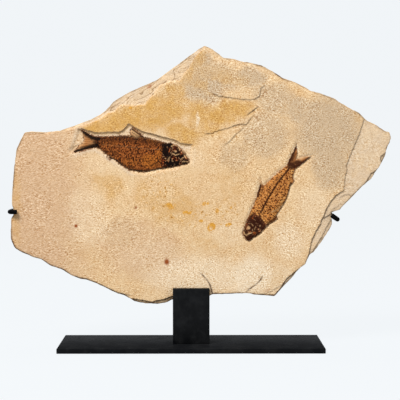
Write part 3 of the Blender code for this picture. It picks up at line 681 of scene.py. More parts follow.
def back_rise(spots, outline):
    """How far the rough back lies in from the plane of the solid's back."""
    rise = 0.5 * (1.0 + mottle(spots, 55.0, 61)) + 0.16 * (1.0 + mottle(spots, 8.0, 62))
    for seed, line in BACK_STEPS.items():
        gap, side, met, length = follow(waver(spots, 5.0, 14.0, (seed, seed)), line)
        ends = smooth_step(np.minimum(met, length - met) / 20.0)
        rise += BACK_STEP_RISE * smooth_step(gap * side / 1.2 + 0.5) * ends
    return rise * np.clip(gap_to(spots, closed(outline[::4])) / 4.0, 0.0, 1.0)


def fine_places():
    """Lines of the face that need a fine grid, and those that need the finest."""
    small = [[(x - across, z), (x + across, z)] for stains in STAINS.values()
             for (x, z), (across, _), _, _ in stains if across < SMALL_SPOT]
    strong = [ledge.line for ledge in LEDGES.values() if ledge.dark > STRONG_LINE] + [BACK_LEDGE]
    lines = [ledge.line for ledge in LEDGES.values()] + [BACK_LEDGE, BELLY_RIM, closed(SLAB_OUTLINE)]
    lines += [closed(outline) for outline in FIN_OUTLINES.values()]
    return lines + small, strong + small


def slab_piece():
    """Slab of one skin: a gridded face and back, joined by the rings of the broken edge."""
    rings = rim_shapes()
    lines, strong_lines = fine_places()
    bm = bmesh.new()
    lay_grid(bm, rings[0][0], FACE_Y, FACE_CELL, FACE_MARGIN,
             [(lines, NEAR_LEDGE), (strong_lines, NEAR_LINE)])
    back_rim = rings[-1][0]
    lay_grid(bm, back_rim, BACK_Y, BACK_CELL, BACK_MARGIN, [([closed(back_rim)], NEAR_BACK_RIM)])
    front = in_plane(bm, FACE_Y)
    back = in_plane(bm, BACK_Y)
    ring = first_ring(bm, *rings[0])
    stitch(bm, ring, front)
    for spots, heights in rings[1:]:
        ring = next_ring(bm, ring, spots, heights)
    stitch(bm, ring, back)
    for vert, down in zip(front, face_form(places(front))[0]):
        vert.co.y = (FACE_Y + down) * MM
    for vert, rise in zip(back, back_rise(places(back), back_rim)):
        vert.co.y = (BACK_Y - BACK_ROOM - rise) * MM
    triangles_for_large_faces(bm)
    piece = as_piece(bm, "limestone_slab", sharp=60.0)
    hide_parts("slab")
    return piece


def film_round(spots, node):
    """Thin stain of bone left on the stone beside a fish: 1 at its outline, 0 at FILM_REACH."""
    outline = FIN_OUTLINES[node]
    gap = gap_to(spots, closed(outline))
    return np.where(within(spots, outline), 1.0, np.clip(1.0 - gap / FILM_REACH, 0.0, 1.0))


def stain_amount(kind, spots, wavering):
    """Strength of one kind of stain at each place of the face."""
    amount = np.zeros(len(spots))
    for centre, radii, tilt, strength in STAINS[kind]:
        where = spots if max(radii) < STILL_SPOT else wavering
        amount = np.maximum(amount, strength * soft_spot(where, centre, radii, tilt))
    if kind == "blush":     # all of the left side
        amount = np.maximum(amount, 0.95 * smooth_step((-62.0 - wavering[:, 0]) / 84.0))
    return amount


def gold_kept(spots, amount, fresh):
    """Gold that is left where fresh stone shows, and in the grey strip above the upper ledge."""
    amount = amount * (1.0 - 0.85 * fresh)
    gap, side, _, _ = follow(spots, LEDGES["upper"].line)
    grey_strip = (side > 0) & (gap < 12.0) & (spots[:, 0] > 16.0) & (spots[:, 1] > 238.0)
    return np.where(grey_strip, 0.25 * amount, amount)


def paint_slab(mesh):
    """Keep the marks and stains of the slab on its vertices."""
    points = mesh_places(mesh)
    spots = points[:, (0, 2)]
    depth, face_marks, from_edge = face_form(spots)
    # The wall is all that lies behind the face, so the broken edge and the back.
    behind_face = points[:, 1] - FACE_Y - depth
    wall = ramp(behind_face, 0.05, 0.3)
    deep_wall = ramp(behind_face, 0.9, 0.9)
    back = ramp(points[:, 1] - BACK_Y, -3.0, 1.5) * (from_edge > 4.0)
    right_share = 0.62 + 0.38 * smooth_step((128.0 - spots[:, 1]) / 10.0)
    film = np.maximum(film_round(spots, "left_fish"), right_share * film_round(spots, "right_fish"))
    paint(mesh, "bone_film", film * (1.0 - wall))
    paint(mesh, "shadow_and_dirt_line", face_marks["shadow_and_dirt_line"] * (1.0 - deep_wall))
    paint(mesh, "shade", face_marks["shade"] * (1.0 - wall))
    paint(mesh, "fresh", np.maximum(face_marks["fresh"] * (1.0 - wall), 0.35 * wall))
    paint(mesh, "broken_edge", np.maximum(wall * (1.0 - back), 0.5 * np.exp(-from_edge / 0.8)))
    wavering = waver(spots, 3.5, 16.0, (71, 72))
    for seed, kind in enumerate(STAINS, 90):
        amount = stain_amount(kind, spots, wavering)
        if kind == "gold":
            amount = gold_kept(spots, amount, face_marks["fresh"])
        amount = amount * (1.0 - wall)
        if kind in ("gold", "grey", "pale"):
            amount = np.maximum(amount, back * np.clip(mottle(spots, 48.0, seed) - 0.1, 0.0, 0.6))
        paint(mesh, kind, amount)


def build_slab():
    """The slab with its marks and stains."""
    piece = slab_piece()
    paint_slab(piece.data)
    return piece


# ------------------------------------------------------------------------ fish
# A fish: its solid, its backbone from the tail on, the root and the middle of its tail, the line behind
# its head, its eye, the rim of its belly, how its ribs lean, its bones as a line, a width and a height,
# and its marks by kind, each a spot with two radii or a line with a width, and its strength. Tone 0 is
# red brown and 1 is orange brown.
LEFT_FISH = {
    "node": "left_fish",
    "spine": [(-95.5, 199.6), (-75.0, 197.4), (-55.0, 194.6), (-40.2, 192.4), (-29.9, 191.6)],
    "tail_root": ((-93.0, 199.2), (-106.0, 200.2)),
    "head_starts": [(-22.6, 199.2), (-25.6, 192.0), (-28.6, 186.0), (-28.8, 178.0), (-26.4, 172.6)],
    "eye": (-14.9, 191.2),
    "belly": [(-88.0, 193.0), (-75.0, 185.0), (-62.0, 174.6), (-46.0, 171.4), (-30.0, 172.8)],
    "rib_lean": 0.42,
    "bones": [
        ([(-28.4, 195.2), (-25.4, 189.6), (-27.0, 183.4), (-26.4, 177.6)], 1.3, 0.35),
        ([(-22.4, 197.4), (-20.6, 191.4), (-21.6, 185.6), (-24.0, 180.0)], 0.9, 0.30),
        ([(-20.6, 186.2), (-17.4, 182.0), (-12.6, 179.6), (-8.4, 178.6)], 0.8, 0.30),
        ([(-19.4, 196.9), (-14.4, 197.0), (-9.6, 193.6), (-6.0, 188.4), (-2.6, 182.0)], 0.8, 0.32),
        ([(-10.2, 188.0), (-6.6, 184.6), (-2.4, 180.6)], 0.6, 0.25),
        ([(-10.0, 180.2), (-6.0, 180.0), (-2.4, 179.6)], 0.45, 0.25),
        ([(-24.0, 176.2), (-17.0, 176.8), (-10.6, 178.4)], 0.6, 0.25)],
    "marks": {
        "dark": [
            ((-24.6, 190.0), (5.4, 9.0), 1.0), ((-21.0, 196.2), (5.0, 4.0), 0.95),
            ((-22.0, 181.0), (7.0, 6.5), 0.85), ((-15.0, 177.2), (9.0, 3.6), 0.8),
            ((-5.0, 181.0), (5.6, 5.0), 0.7), ((-7.0, 189.6), (5.0, 3.0), 0.55),
            ([(-93.3, 204.6), (-77.9, 204.6), (-62.5, 204.9), (-45.3, 204.0), (-33.3, 201.4),
              (-23.9, 198.4)], 1.3, 0.75),
            ([(-93.0, 195.0), (-84.0, 189.2), (-77.1, 183.6), (-71.1, 181.0), (-66.0, 176.2),
              (-60.9, 172.8), (-48.8, 171.4), (-42.0, 170.9), (-33.4, 172.6), (-26.0, 174.4)], 1.5, 0.8),
            ([(-71.0, 180.6), (-66.4, 176.8), (-61.0, 173.2)], 2.6, 0.6),
            ([(-105.0, 210.8), (-100.0, 206.6), (-95.0, 203.4), (-89.0, 202.0)], 2.5, 1.0),
            ([(-112.6, 189.4), (-105.2, 191.4), (-97.7, 194.2), (-90.6, 196.2)], 2.7, 1.0),
            ((-91.0, 199.0), (5.0, 7.0), 0.6), ((-13.0, 186.0), (15.0, 13.0), 0.62),
            ([(-26.0, 174.4), (-17.0, 174.8), (-9.0, 176.8), (-3.0, 178.2)], 1.7, 1.0),
            ([(-25.2, 196.0), (-24.0, 187.0)], 4.4, 0.9),
            ([(-30.0, 199.0), (-62.0, 203.0), (-88.0, 202.0)], 5.6, 0.52),
            ([(-9.6, 196.4), (-5.6, 191.6), (-2.6, 186.4), (-0.8, 181.6)], 1.0, 1.0),
            ([(-8.0, 178.4), (-4.0, 178.6), (-1.2, 179.0)], 0.9, 1.0)],
        "pale": [
            ([(-18.8, 195.2), (-15.6, 196.6), (-12.2, 195.4), (-10.9, 191.6)], 0.5, 0.85),
            ([(-11.9, 187.4), (-15.1, 186.5), (-17.9, 188.3)], 0.5, 0.9),
            ((-14.9, 190.2), (1.5, 1.2), 0.7), ([(-7.8, 191.6), (-6.6, 189.2)], 0.6, 1.0),
            ([(-6.4, 186.8), (-5.4, 184.4)], 0.6, 0.95), ([(-8.6, 180.5), (-2.6, 180.3)], 0.34, 0.85),
            ([(-10.0, 182.4), (-7.6, 184.4)], 0.34, 0.6), ([(-20.5, 184.7), (-22.6, 181.6)], 0.5, 0.6),
            ((-17.9, 180.6), (1.3, 0.8), 0.6), ((-24.8, 183.4), (0.8, 0.7), 0.6),
            ([(-59.6, 212.4), (-57.0, 209.4), (-52.4, 206.2)], 2.2, 1.0),
            ([(-105.6, 206.8), (-103.4, 203.6), (-103.0, 200.8)], 1.2, 0.6),
            ([(-109.8, 193.4), (-105.8, 196.4), (-103.4, 198.6)], 1.2, 0.6),
            ([(-85.0, 197.0), (-60.0, 194.6), (-41.0, 192.2), (-29.0, 192.0)], 0.34, 0.14)],
        "rust": [
            ((-40.0, 181.0), (12.0, 9.0), 0.85), ((-31.0, 186.0), (5.0, 9.0), 0.7),
            ((-36.0, 200.6), (9.0, 3.4), 0.55), ((-99.4, 200.0), (5.4, 4.0), 0.45),
            ((-101.6, 196.0), (5.0, 2.6), 0.45), ((-58.0, 180.0), (12.0, 6.0), 0.4),
            ((-6.6, 183.0), (3.4, 2.8), 0.6), ((-78.0, 198.0), (13.0, 4.0), 0.25),
            ((-10.0, 186.6), (2.4, 2.0), 0.5)],
        "streak": [
            ([(-56.8, 211.6), (-50.8, 207.2), (-45.0, 204.4)], 0.9, 1.0),
            ([(-56.6, 208.4), (-51.4, 205.0)], 0.5, 0.85)],
    },
    "tone": 0.0,
}
RIGHT_FISH = {
    "node": "right_fish",
    "spine": [(95.4, 175.4), (93.2, 172.5), (86.9, 165.1), (82.1, 158.3), (77.4, 150.5), (72.6, 142.7),
              (69.4, 136.3), (66.4, 130.0)],
    "tail_root": ((96.4, 176.4), (103.4, 183.8)),
    "head_starts": [(74.6, 119.2), (70.4, 122.0), (66.4, 128.0), (60.6, 130.2), (54.8, 127.6)],
    "eye": (55.4, 116.4),
    "belly": [(98.0, 166.0), (94.9, 153.3), (91.8, 142.1), (87.0, 134.1), (81.0, 124.6), (74.3, 119.7)],
    "rib_lean": 0.62,
    "bones": [
        ([(68.6, 131.7), (64.6, 127.4), (67.4, 121.6), (73.5, 118.7)], 1.1, 0.32),
        ([(60.8, 128.0), (60.2, 121.4), (63.4, 115.4), (66.8, 112.2)], 0.9, 0.30),
        ([(53.6, 122.6), (57.8, 122.0), (60.6, 118.6), (60.2, 113.4)], 0.7, 0.28),
        ([(50.6, 113.0), (52.8, 110.0), (58.2, 111.4)], 0.55, 0.28),
        ([(51.6, 107.2), (56.4, 108.6), (60.4, 108.6)], 0.55, 0.25),
        ([(55.6, 103.8), (58.0, 106.8), (59.0, 110.0)], 0.5, 0.25),
        ([(56.0, 126.4), (61.0, 125.0), (66.0, 121.4)], 0.6, 0.25)],
    "marks": {
        "dark": [
            ((61.4, 119.4), (10.6, 11.6), 0.85), ((60.0, 110.0), (9.0, 7.0), 0.8),
            ((64.2, 122.8), (4.6, 4.2), 1.0), ((55.6, 105.2), (5.0, 4.6), 0.9),
            ((66.0, 114.2), (6.4, 4.6), 0.75), ((52.0, 112.6), (2.4, 4.8), 0.7),
            ((59.6, 128.6), (4.6, 3.6), 0.5),
            ([(95.4, 176.4), (93.2, 172.5), (86.9, 165.1), (82.1, 158.3), (77.4, 150.5), (72.6, 142.7),
              (69.4, 136.3), (66.8, 131.0)], 0.95, 1.0),
            ([(101.5, 197.2), (97.6, 187.6), (94.0, 178.9)], 1.7, 0.95),
            ([(98.8, 189.0), (96.8, 181.6)], 1.6, 0.7),
            ([(116.3, 184.9), (110.8, 181.1), (102.8, 176.9), (97.2, 174.4)], 1.8, 1.0),
            ((96.4, 176.6), (6.2, 4.4), 0.9), ((103.0, 179.4), (7.4, 3.2), 0.75),
            ([(96.0, 157.6), (94.9, 153.3), (91.8, 142.1), (87.0, 134.1), (82.0, 126.6), (74.8, 121.2),
              (68.7, 115.6)], 1.5, 0.75),
            ([(90.6, 141.2), (87.4, 136.6)], 2.2, 0.8), ((95.8, 158.6), (2.2, 2.6), 0.75),
            ([(66.0, 155.0), (63.2, 147.6), (60.0, 139.8), (56.6, 131.6), (53.6, 123.6)], 1.2, 0.6),
            ([(67.2, 160.6), (65.8, 153.6), (64.2, 147.0)], 1.3, 1.0),
            ([(69.6, 157.2), (67.6, 150.6)], 0.7, 0.6), ([(83.8, 134.6), (77.0, 131.4)], 1.6, 0.4)],
        "pale": [
            ((55.2, 116.6), (2.1, 2.5), 0.75), ([(50.5, 112.2), (52.7, 109.4), (58.1, 111.7)], 0.52, 1.0),
            ([(57.6, 121.0), (59.6, 118.4)], 0.4, 0.5), ([(62.2, 118.0), (61.0, 114.6)], 0.4, 0.45),
            ((66.4, 118.6), (1.0, 1.3), 0.4),
            ([(102.7, 193.0), (102.6, 186.5), (101.6, 182.8)], 0.9, 0.6),
            ([(117.0, 187.0), (110.9, 185.8), (104.8, 182.6)], 1.2, 0.85),
            ([(66.8, 162.6), (67.8, 158.8)], 1.0, 0.8), ([(99.6, 163.2), (99.8, 160.2)], 0.8, 0.5),
            ([(77.2, 131.8), (84.0, 134.8), (89.0, 139.4)], 0.5, 0.5),
            ([(86.0, 129.4), (82.4, 125.0)], 0.5, 0.5)],
        "rust": [
            ((84.0, 156.0), (22.0, 18.0), 0.85), ((72.0, 142.0), (18.0, 22.0), 0.8),
            ((62.6, 138.0), (8.0, 12.0), 0.7), ((74.6, 126.2), (7.0, 5.4), 1.0),
            ((91.0, 169.0), (7.0, 7.0), 0.8), ((101.6, 188.0), (2.4, 7.0), 0.7),
            ((108.0, 183.0), (7.0, 3.0), 0.6)],
    },
    "tone": 0.65,
}

FISH_CELL = 0.62            # grid of a fish away from its rim, backbone and head
FISH_STEP = 0.8             # spacing of the points round a fish
FISH_MARGIN = 0.3
NEAR_SPINE = 1.2            # the grid is halved this close to the backbone or the rim
HEAD_REACH = 12.0           # and once more this close to the line from eye to backbone
WORK_GAP = 9.0              # it is cut this far in front of the underside, clear of the rim
THIN_RIM = 0.16
FIN_THICK = 0.42            # fins, tail and the rim of the body
BODY_RISE = 0.72            # how much higher the body stands at its middle
BODY_CROWN = 7.5            # distance from the body's edge to its full height
SCALE_LENGTH = 2.3
SCALE_HEIGHT = 1.55
JOINT_LENGTH = 1.75         # one bone of the backbone
RIB_SPACING = 2.35
TAIL_REACH = 26.0           # fins further than this from the tail's root have rays side by side
TAIL_RAYS = 46.0            # rays that a full circle of the fan would have
FIN_RAY_SPACING = 1.25
LOWEST = 0.10               # the relief never goes lower than this above the underside

# Where places lie on a fish: along and across its backbone, inside its rim and inside its body, how far
# they belong to the crowned body and to the head.
OnFish = namedtuple("OnFish", "spots along across from_rim in_body fleshed head")


def longer(line, before, after):
    """A line made longer at its start and at its end."""
    first, second, last_but_one, last = (np.array(line[i]) for i in (0, 1, -2, -1))
    start = first - before * (second - first) / np.hypot(*(second - first))
    end = last + after * (last - last_but_one) / np.hypot(*(last - last_but_one))
    return [tuple(start)] + line + [tuple(end)]


def fish_axes(spots, fish):
    """Places measured along the fish, from its tail, and across it from its backbone."""
    gap, side, met, _ = follow(spots, longer(fish["spine"], 8.0, 40.0))
    return met, gap * side


def on_fish(spots, fish):
    """How places lie on a fish."""
    body = BODY_OUTLINES[fish["node"]]
    from_rim = gap_to(spots, closed(FIN_OUTLINES[fish["node"]]))
    body_gap = gap_to(spots, closed(body))
    in_body = np.where(within(spots, body), body_gap, -body_gap)
    fleshed = ramp(in_body, -0.8, 1.6)
    head_gap, head_side, _, _ = follow(spots, fish["head_starts"])
    head = smooth_step(head_gap * head_side / 1.2 + 0.5) * fleshed
    return OnFish(spots, *fish_axes(spots, fish), from_rim, in_body, fleshed, head)


def marks(spots, fish, kind):
    """Strength of one kind of mark at each place on a fish."""
    amount = np.zeros(len(spots))
    ragged = waver(spots, 0.45, 1.8, (81, 82))
    for where, size, strength in fish["marks"].get(kind, []):
        if isinstance(size, tuple):
            here = soft_spot(ragged, where, size)
        else:
            here = bell(gap_to(ragged, where), size)
        amount = np.maximum(amount, strength * here)
    return amount


def crowned(at):
    """Height of the fins and of the body, which rises towards its middle."""
    height = THIN_RIM + (FIN_THICK - THIN_RIM) * smooth_step(at.from_rim / 0.7)
    dome = 1.0 - (1.0 - np.clip(at.in_body / BODY_CROWN, 0.0, 1.0)) ** 2
    return height + at.fleshed * (0.16 + BODY_RISE * dome)


def scales(at):
    """Height of the overlapping scales, and the mask of their edges."""
    row = at.across / SCALE_HEIGHT
    column = at.along / SCALE_LENGTH + 0.5 * (np.floor(row) % 2) + 0.12 * mottle(at.spots, 5.0, 83)
    in_row = row - np.floor(row) - 0.5
    in_column = column - np.floor(column)
    bulge = in_column - 1.6 * in_row ** 2
    edge = bell(bulge - 0.05, 0.13) + bell(bulge - 1.0, 0.10)
    worn = smooth_step(0.75 + 0.9 * mottle(at.spots, 7.0, 84))
    scaly = at.fleshed * (1.0 - at.head) * ramp(at.in_body, 0.2, 1.0) * worn
    return scaly * (0.13 * np.clip(bulge, 0.0, 1.0) - 0.05 * edge), scaly * np.clip(edge, 0.0, 1.0)


def backbone(at, fish):
    """Height of the jointed backbone and of the groove beside it."""
    gap, _, met, length = follow(at.spots, fish["spine"])
    present = smooth_step(np.minimum(met, length - met) / 2.0 + 0.4) * (1.0 - 0.6 * at.head)
    joints = 0.72 + 0.28 * np.cos(met * 2.0 * math.pi / JOINT_LENGTH)
    return 0.24 * present * bell(gap, 0.75) * joints - 0.10 * present * bell(gap - 1.25, 0.35)


def ribs(at, fish):
    """Where the leaning ribs of the belly show, as a mask."""
    leaning = (at.along + at.across * fish["rib_lean"] * 1.6) * 2.0 * math.pi / RIB_SPACING
    belly = at.fleshed * (1.0 - at.head) * smooth_step((9.5 - gap_to(at.spots, fish["belly"])) / 4.0)
    return belly * np.clip(np.cos(leaning + 0.7 * mottle(at.spots, 8.0, 85)), 0.0, 1.0) ** 3


def skull(at, fish):
    """Height of the head's bones, the eye's ring and socket, and the crushed bone between them."""
    height = np.zeros(len(at.spots))
    for line, width, rise in fish["bones"]:
        gap = gap_to(at.spots, line)
        height += rise * bell(gap, width) - 0.10 * bell(gap - 1.9 * width, 0.7 * width)
    eye_gap = np.hypot(*(at.spots - np.array(fish["eye"])).T)
    height += 0.30 * bell(eye_gap - 2.9, 0.62) - 0.28 * bell(eye_gap, 1.7)
    crushed = 0.16 * mottle(at.spots, 2.1, 86) + 0.12 * np.abs(mottle(at.spots, 4.2, 87, 2))
    return height + at.head * crushed


def fin_rays(at, fish):
    """Rays that fan out in the tail and lie side by side in the fins: their height and their mask."""
    root, middle = (np.array(place) for place in fish["tail_root"])
    fan = at.spots - (root - 0.55 * (middle - root))
    facing = (middle - root) / np.hypot(*(middle - root))
    angle = np.arctan2(fan[:, 0] * facing[1] - fan[:, 1] * facing[0], fan @ facing)
    in_tail = smooth_step((TAIL_REACH - np.hypot(*fan.T)) / 4.0)
    tail = (1.0 - at.fleshed) * in_tail * np.clip(np.cos(angle * TAIL_RAYS), 0.0, 1.0) ** 2
    side_by_side = (at.along * 0.75 + at.across * 0.66) * 2.0 * math.pi / FIN_RAY_SPACING
    fin = (1.0 - at.fleshed) * (1.0 - in_tail) * np.clip(np.cos(side_by_side), 0.0, 1.0)
    height = 0.13 * tail * smooth_step(at.from_rim / 0.6) + 0.10 * fin * smooth_step(at.from_rim / 0.5)
    return height, np.maximum(tail, fin)


def fish_form(spots, fish):
    """Height of a fish above its underside, with the masks that its finish reads."""
    at = on_fish(spots, fish)
    scale_height, scale_edges = scales(at)
    rib = ribs(at, fish)
    ray_height, rays = fin_rays(at, fish)
    height = crowned(at) + scale_height + backbone(at, fish) + 0.12 * rib + skull(at, fish)
    height += at.fleshed * (1.0 - at.head) * 0.07 * mottle(spots, 1.6, 88, 2) + ray_height
    masks = {"head": at.head, "scales": scale_edges, "ribs": rib, "rays": rays, "fleshed": at.fleshed}
    return np.maximum(height, LOWEST), masks


def map_along(mesh, measured):
    """UV map in metres along the fish and across it."""
    corners = np.zeros(len(mesh.loops), np.int32)
    mesh.loops.foreach_get("vertex_index", corners)
    layer = mesh.uv_layers.new(name="along_fish")
    layer.data.foreach_set("uv", measured[corners].astype(np.float32).ravel())


def fish_piece(fish):
    """Fish of one skin: a gridded top with its relief, a low rim and a flat underside."""
    under = in_mm(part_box(fish["node"]))[1][1]
    loop = even_steps(FIN_OUTLINES[fish["node"]], FISH_STEP)
    ragged = 0.10 + 0.55 * np.clip(0.6 + 1.3 * mottle(loop, 2.2, 79), 0.0, 2.0)
    loop = loop + inward(loop) * ragged[:, None]
    height = fish_form(loop, fish)[0]
    head_line = [fish["eye"], fish["spine"][-1]]
    bm = bmesh.new()
    lay_grid(bm, loop, under - WORK_GAP, FISH_CELL, FISH_MARGIN,
             [([closed(loop), fish["spine"]], NEAR_SPINE), ([head_line], HEAD_REACH)])
    inner = in_plane(bm, under - WORK_GAP)
    ring = first_ring(bm, loop, under - height)
    stitch(bm, ring, inner)
    for share in (0.6, 0.0):
        ring = next_ring(bm, ring, loop, under - share * height)
    fill_with_triangles(bm, ring_edges(bm, ring), 1.0)
    for vert, rise in zip(inner, fish_form(places(inner), fish)[0]):
        vert.co.y = (under - rise) * MM
    triangles_for_large_faces(bm)
    piece = as_piece(bm, fish["node"].replace("_fish", "_fossil_fish"), sharp=70.0)
    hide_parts(fish["node"])
    return piece


def build_fish(fish):
    """One fish with its map and the masks and marks of its finish."""
    piece = fish_piece(fish)
    spots = mesh_places(piece.data)[:, (0, 2)]
    map_along(piece.data, np.column_stack(fish_axes(spots, fish)) * MM)
    for name, values in fish_form(spots, fish)[1].items():
        paint(piece.data, name, values)
    for kind in ("dark", "pale", "rust", "streak"):
        paint(piece.data, kind, marks(spots, fish, kind))
    return piece


# ----------------------------------------------------------------------- stand
ROD_RADIUS = 2.2
ROD_SIDES = 20
ROD_END_EDGE = 0.75         # widths of the rounded edges
PLATE_EDGE = 0.7
BLOCK_EDGE = 0.55
ROUNDING_STEPS = 4
FIT_GAP = 0.3               # between the slab and what holds it, in front and behind
SLOT_HALF = THICKNESS / 2.0 + FIT_GAP
SLOT_SEAT = 46.2            # height of the slot's floor
BLOCK_SINK = 0.28           # how far the block's rounded foot is sunk into the plate
BLOCK_HALF_DEPTH = 13.0
ROD_SINK = 1.0              # how far a rod's foot reaches into the block
ROD_SPREAD = 8.0            # how far from the middle a rod's foot stands
ROD_RISE = 16.3             # height above the block at which a rod turns outwards
ROD_BENDS = [9.0, 9.0, 2.9, 2.9]    # radii, from the foot to the tip
DEGREES_A_STEP = 9.0
SAME_PLACE = 0.005          # corners this close to each other become one


def box_between(bm, low, high):
    """Cube between two corners in mm, in an open bmesh."""
    verts = bmesh.ops.create_cube(bm, size=1.0)["verts"]
    bmesh.ops.scale(bm, vec=Vector((high - low) * MM), verts=verts)
    bmesh.ops.translate(bm, vec=Vector((high + low) / 2.0 * MM), verts=verts)


def round_edges(bm, edges, width):
    """Round some edges, and mark every vertex of the rounding as a worn edge."""
    rounded = bmesh.ops.bevel(bm, geom=edges, offset=width * MM, offset_type="OFFSET",
                              segments=ROUNDING_STEPS, profile=0.5, affect="EDGES", clamp_overlap=True,
                              material=-1)["faces"]
    layer = bm.verts.layers.float.new("worn_edge")
    for face in rounded:
        for vert in face.verts:
            vert[layer] = 1.0


def corner_edges(bm, angle=30.0):
    """Edges at which a bmesh turns by more than an angle in degrees."""
    return [edge for edge in bm.edges if edge.calc_face_angle(0.0) > math.radians(angle)]


def build_base_plate():
    """Flat plate with rounded edges."""
    bm = bmesh.new()
    box_between(bm, *in_mm(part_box("base_plate")))
    round_edges(bm, corner_edges(bm), PLATE_EDGE)
    piece = as_piece(bm, "stand_base_plate", sharp=35.0)
    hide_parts("base_plate")
    return piece


def open_slot(bm, half_length):
    """Cut a slot along a block's top: its top strip goes, and its walls are joined at both ends."""
    for y in (-SLOT_HALF, SLOT_HALF):
        cut(bm, (0.0, y * MM, 0.0), (0.0, 1.0, 0.0))
    cut(bm, (0.0, 0.0, SLOT_SEAT * MM), (0.0, 0.0, 1.0))
    middles = {face: face.calc_center_median() for face in bm.faces}
    inside = [face for face, middle in middles.items()
              if abs(middle.y) < SLOT_HALF * MM * 0.9 and middle.z > (SLOT_SEAT + 0.5) * MM]
    bmesh.ops.delete(bm, geom=inside, context="FACES")
    ends = {1: [], -1: []}
    for edge in bm.edges:
        middle = (edge.verts[0].co + edge.verts[1].co) / 2.0
        if edge.is_boundary and abs(middle.x) > (half_length - 0.5) * MM:
            ends[1 if middle.x > 0 else -1].append(edge)
    bmesh.ops.bridge_loops(bm, edges=ends[1] + ends[-1])


def build_holder_block():
    """Block with a slot along its top, in which the slab's foot stands."""
    low, high = in_mm(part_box("holder_block"))
    bm = bmesh.new()
    box_between(bm, low - np.array([0.0, 0.0, BLOCK_SINK]), high)
    open_slot(bm, high[0])
    round_edges(bm, corner_edges(bm), BLOCK_EDGE)
    piece = as_piece(bm, "stand_holder_block", sharp=35.0)
    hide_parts("holder_block")
    return piece


def end_faces(bm, ring):
    """The face that closes a rod at a ring of vertices."""
    return [face for face in bm.faces if all(vert in ring for vert in face.verts)]


def push_on(bm, ring, reach):
    """Extrude a rod straight on from its end."""
    made = verts_of(bmesh.ops.extrude_face_region(bm, geom=end_faces(bm, ring))["geom"])
    bmesh.ops.translate(bm, vec=reach * MM, verts=made)
    return made


def bend_on(bm, ring, centre, axis, angle):
    """Spin a rod's end round a bend."""
    faces = end_faces(bm, ring)
    steps = max(4, int(math.degrees(angle) / DEGREES_A_STEP))
    made = bmesh.ops.spin(bm, geom=faces, cent=centre * MM, axis=axis, angle=angle, steps=steps)
    bmesh.ops.delete(bm, geom=faces, context="FACES_ONLY")
    return verts_of(made["geom_last"])


def swept_rod(name, corners, bends, node):
    """Round rod along a route: straight stretches extruded, bends spun, ends rounded."""
    corners = [Vector(corner) for corner in corners]
    bm = bmesh.new()
    heading = (corners[1] - corners[0]).normalized()
    turned = heading.to_track_quat("Z", "Y").to_matrix().to_4x4()
    ring = bmesh.ops.create_circle(bm, cap_ends=True, segments=ROD_SIDES, radius=ROD_RADIUS * MM,
                                   matrix=Matrix.Translation(corners[0] * MM) @ turned)["verts"]
    at = corners[0]
    for before, corner, after, radius in zip(corners, corners[1:], corners[2:], bends):
        back = (before - corner).normalized()
        ahead = (after - corner).normalized()
        half = back.angle(ahead) / 2.0
        reach = radius / math.tan(half)
        ring = push_on(bm, ring, (corner + back * reach) - at)
        centre = corner + (back + ahead).normalized() * (radius / math.sin(half))
        ring = bend_on(bm, ring, centre, (-back).cross(ahead).normalized(), math.pi - 2.0 * half)
        at = corner + ahead * reach
    push_on(bm, ring, corners[-1] - at)
    bmesh.ops.remove_doubles(bm, verts=bm.verts, dist=SAME_PLACE * MM)
    rims = each_once(edge for face in bm.faces if len(face.verts) > 4 for edge in face.edges)
    round_edges(bm, rims, ROD_END_EDGE)
    piece = as_piece(bm, name, sharp=40.0)
    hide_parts(node)
    return piece


def build_arms():
    """The two rods: up out of the block's rear wall, outwards behind the slab and round its edge."""
    block_top = in_mm(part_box("holder_block"))[1][2]
    wall_y = (SLOT_HALF + BLOCK_HALF_DEPTH) / 2.0
    front_y = FACE_Y - FIT_GAP - ROD_RADIUS
    # The place of each rod's foot, then its places behind the slab, beside the slab and at its tip.
    routes = (("left", -ROD_SPREAD, (-146.0, 132.1), (-174.5, 132.1), (-167.3, 132.1)),
              ("right", ROD_SPREAD, (118.0, 141.0), (141.1, 124.7), (134.9, 129.1)))
    arms = []
    for word, foot_x, behind, outer, tip in routes:
        corners = [(foot_x, wall_y, block_top - ROD_SINK), (foot_x, wall_y, block_top + ROD_RISE),
                   (behind[0], wall_y, behind[1]), (outer[0], wall_y, outer[1]),
                   (outer[0], front_y, outer[1]), (tip[0], front_y, tip[1])]
        arms.append(swept_rod(f"stand_{word}_arm", corners, ROD_BENDS, f"{word}_arm"))
    return arms


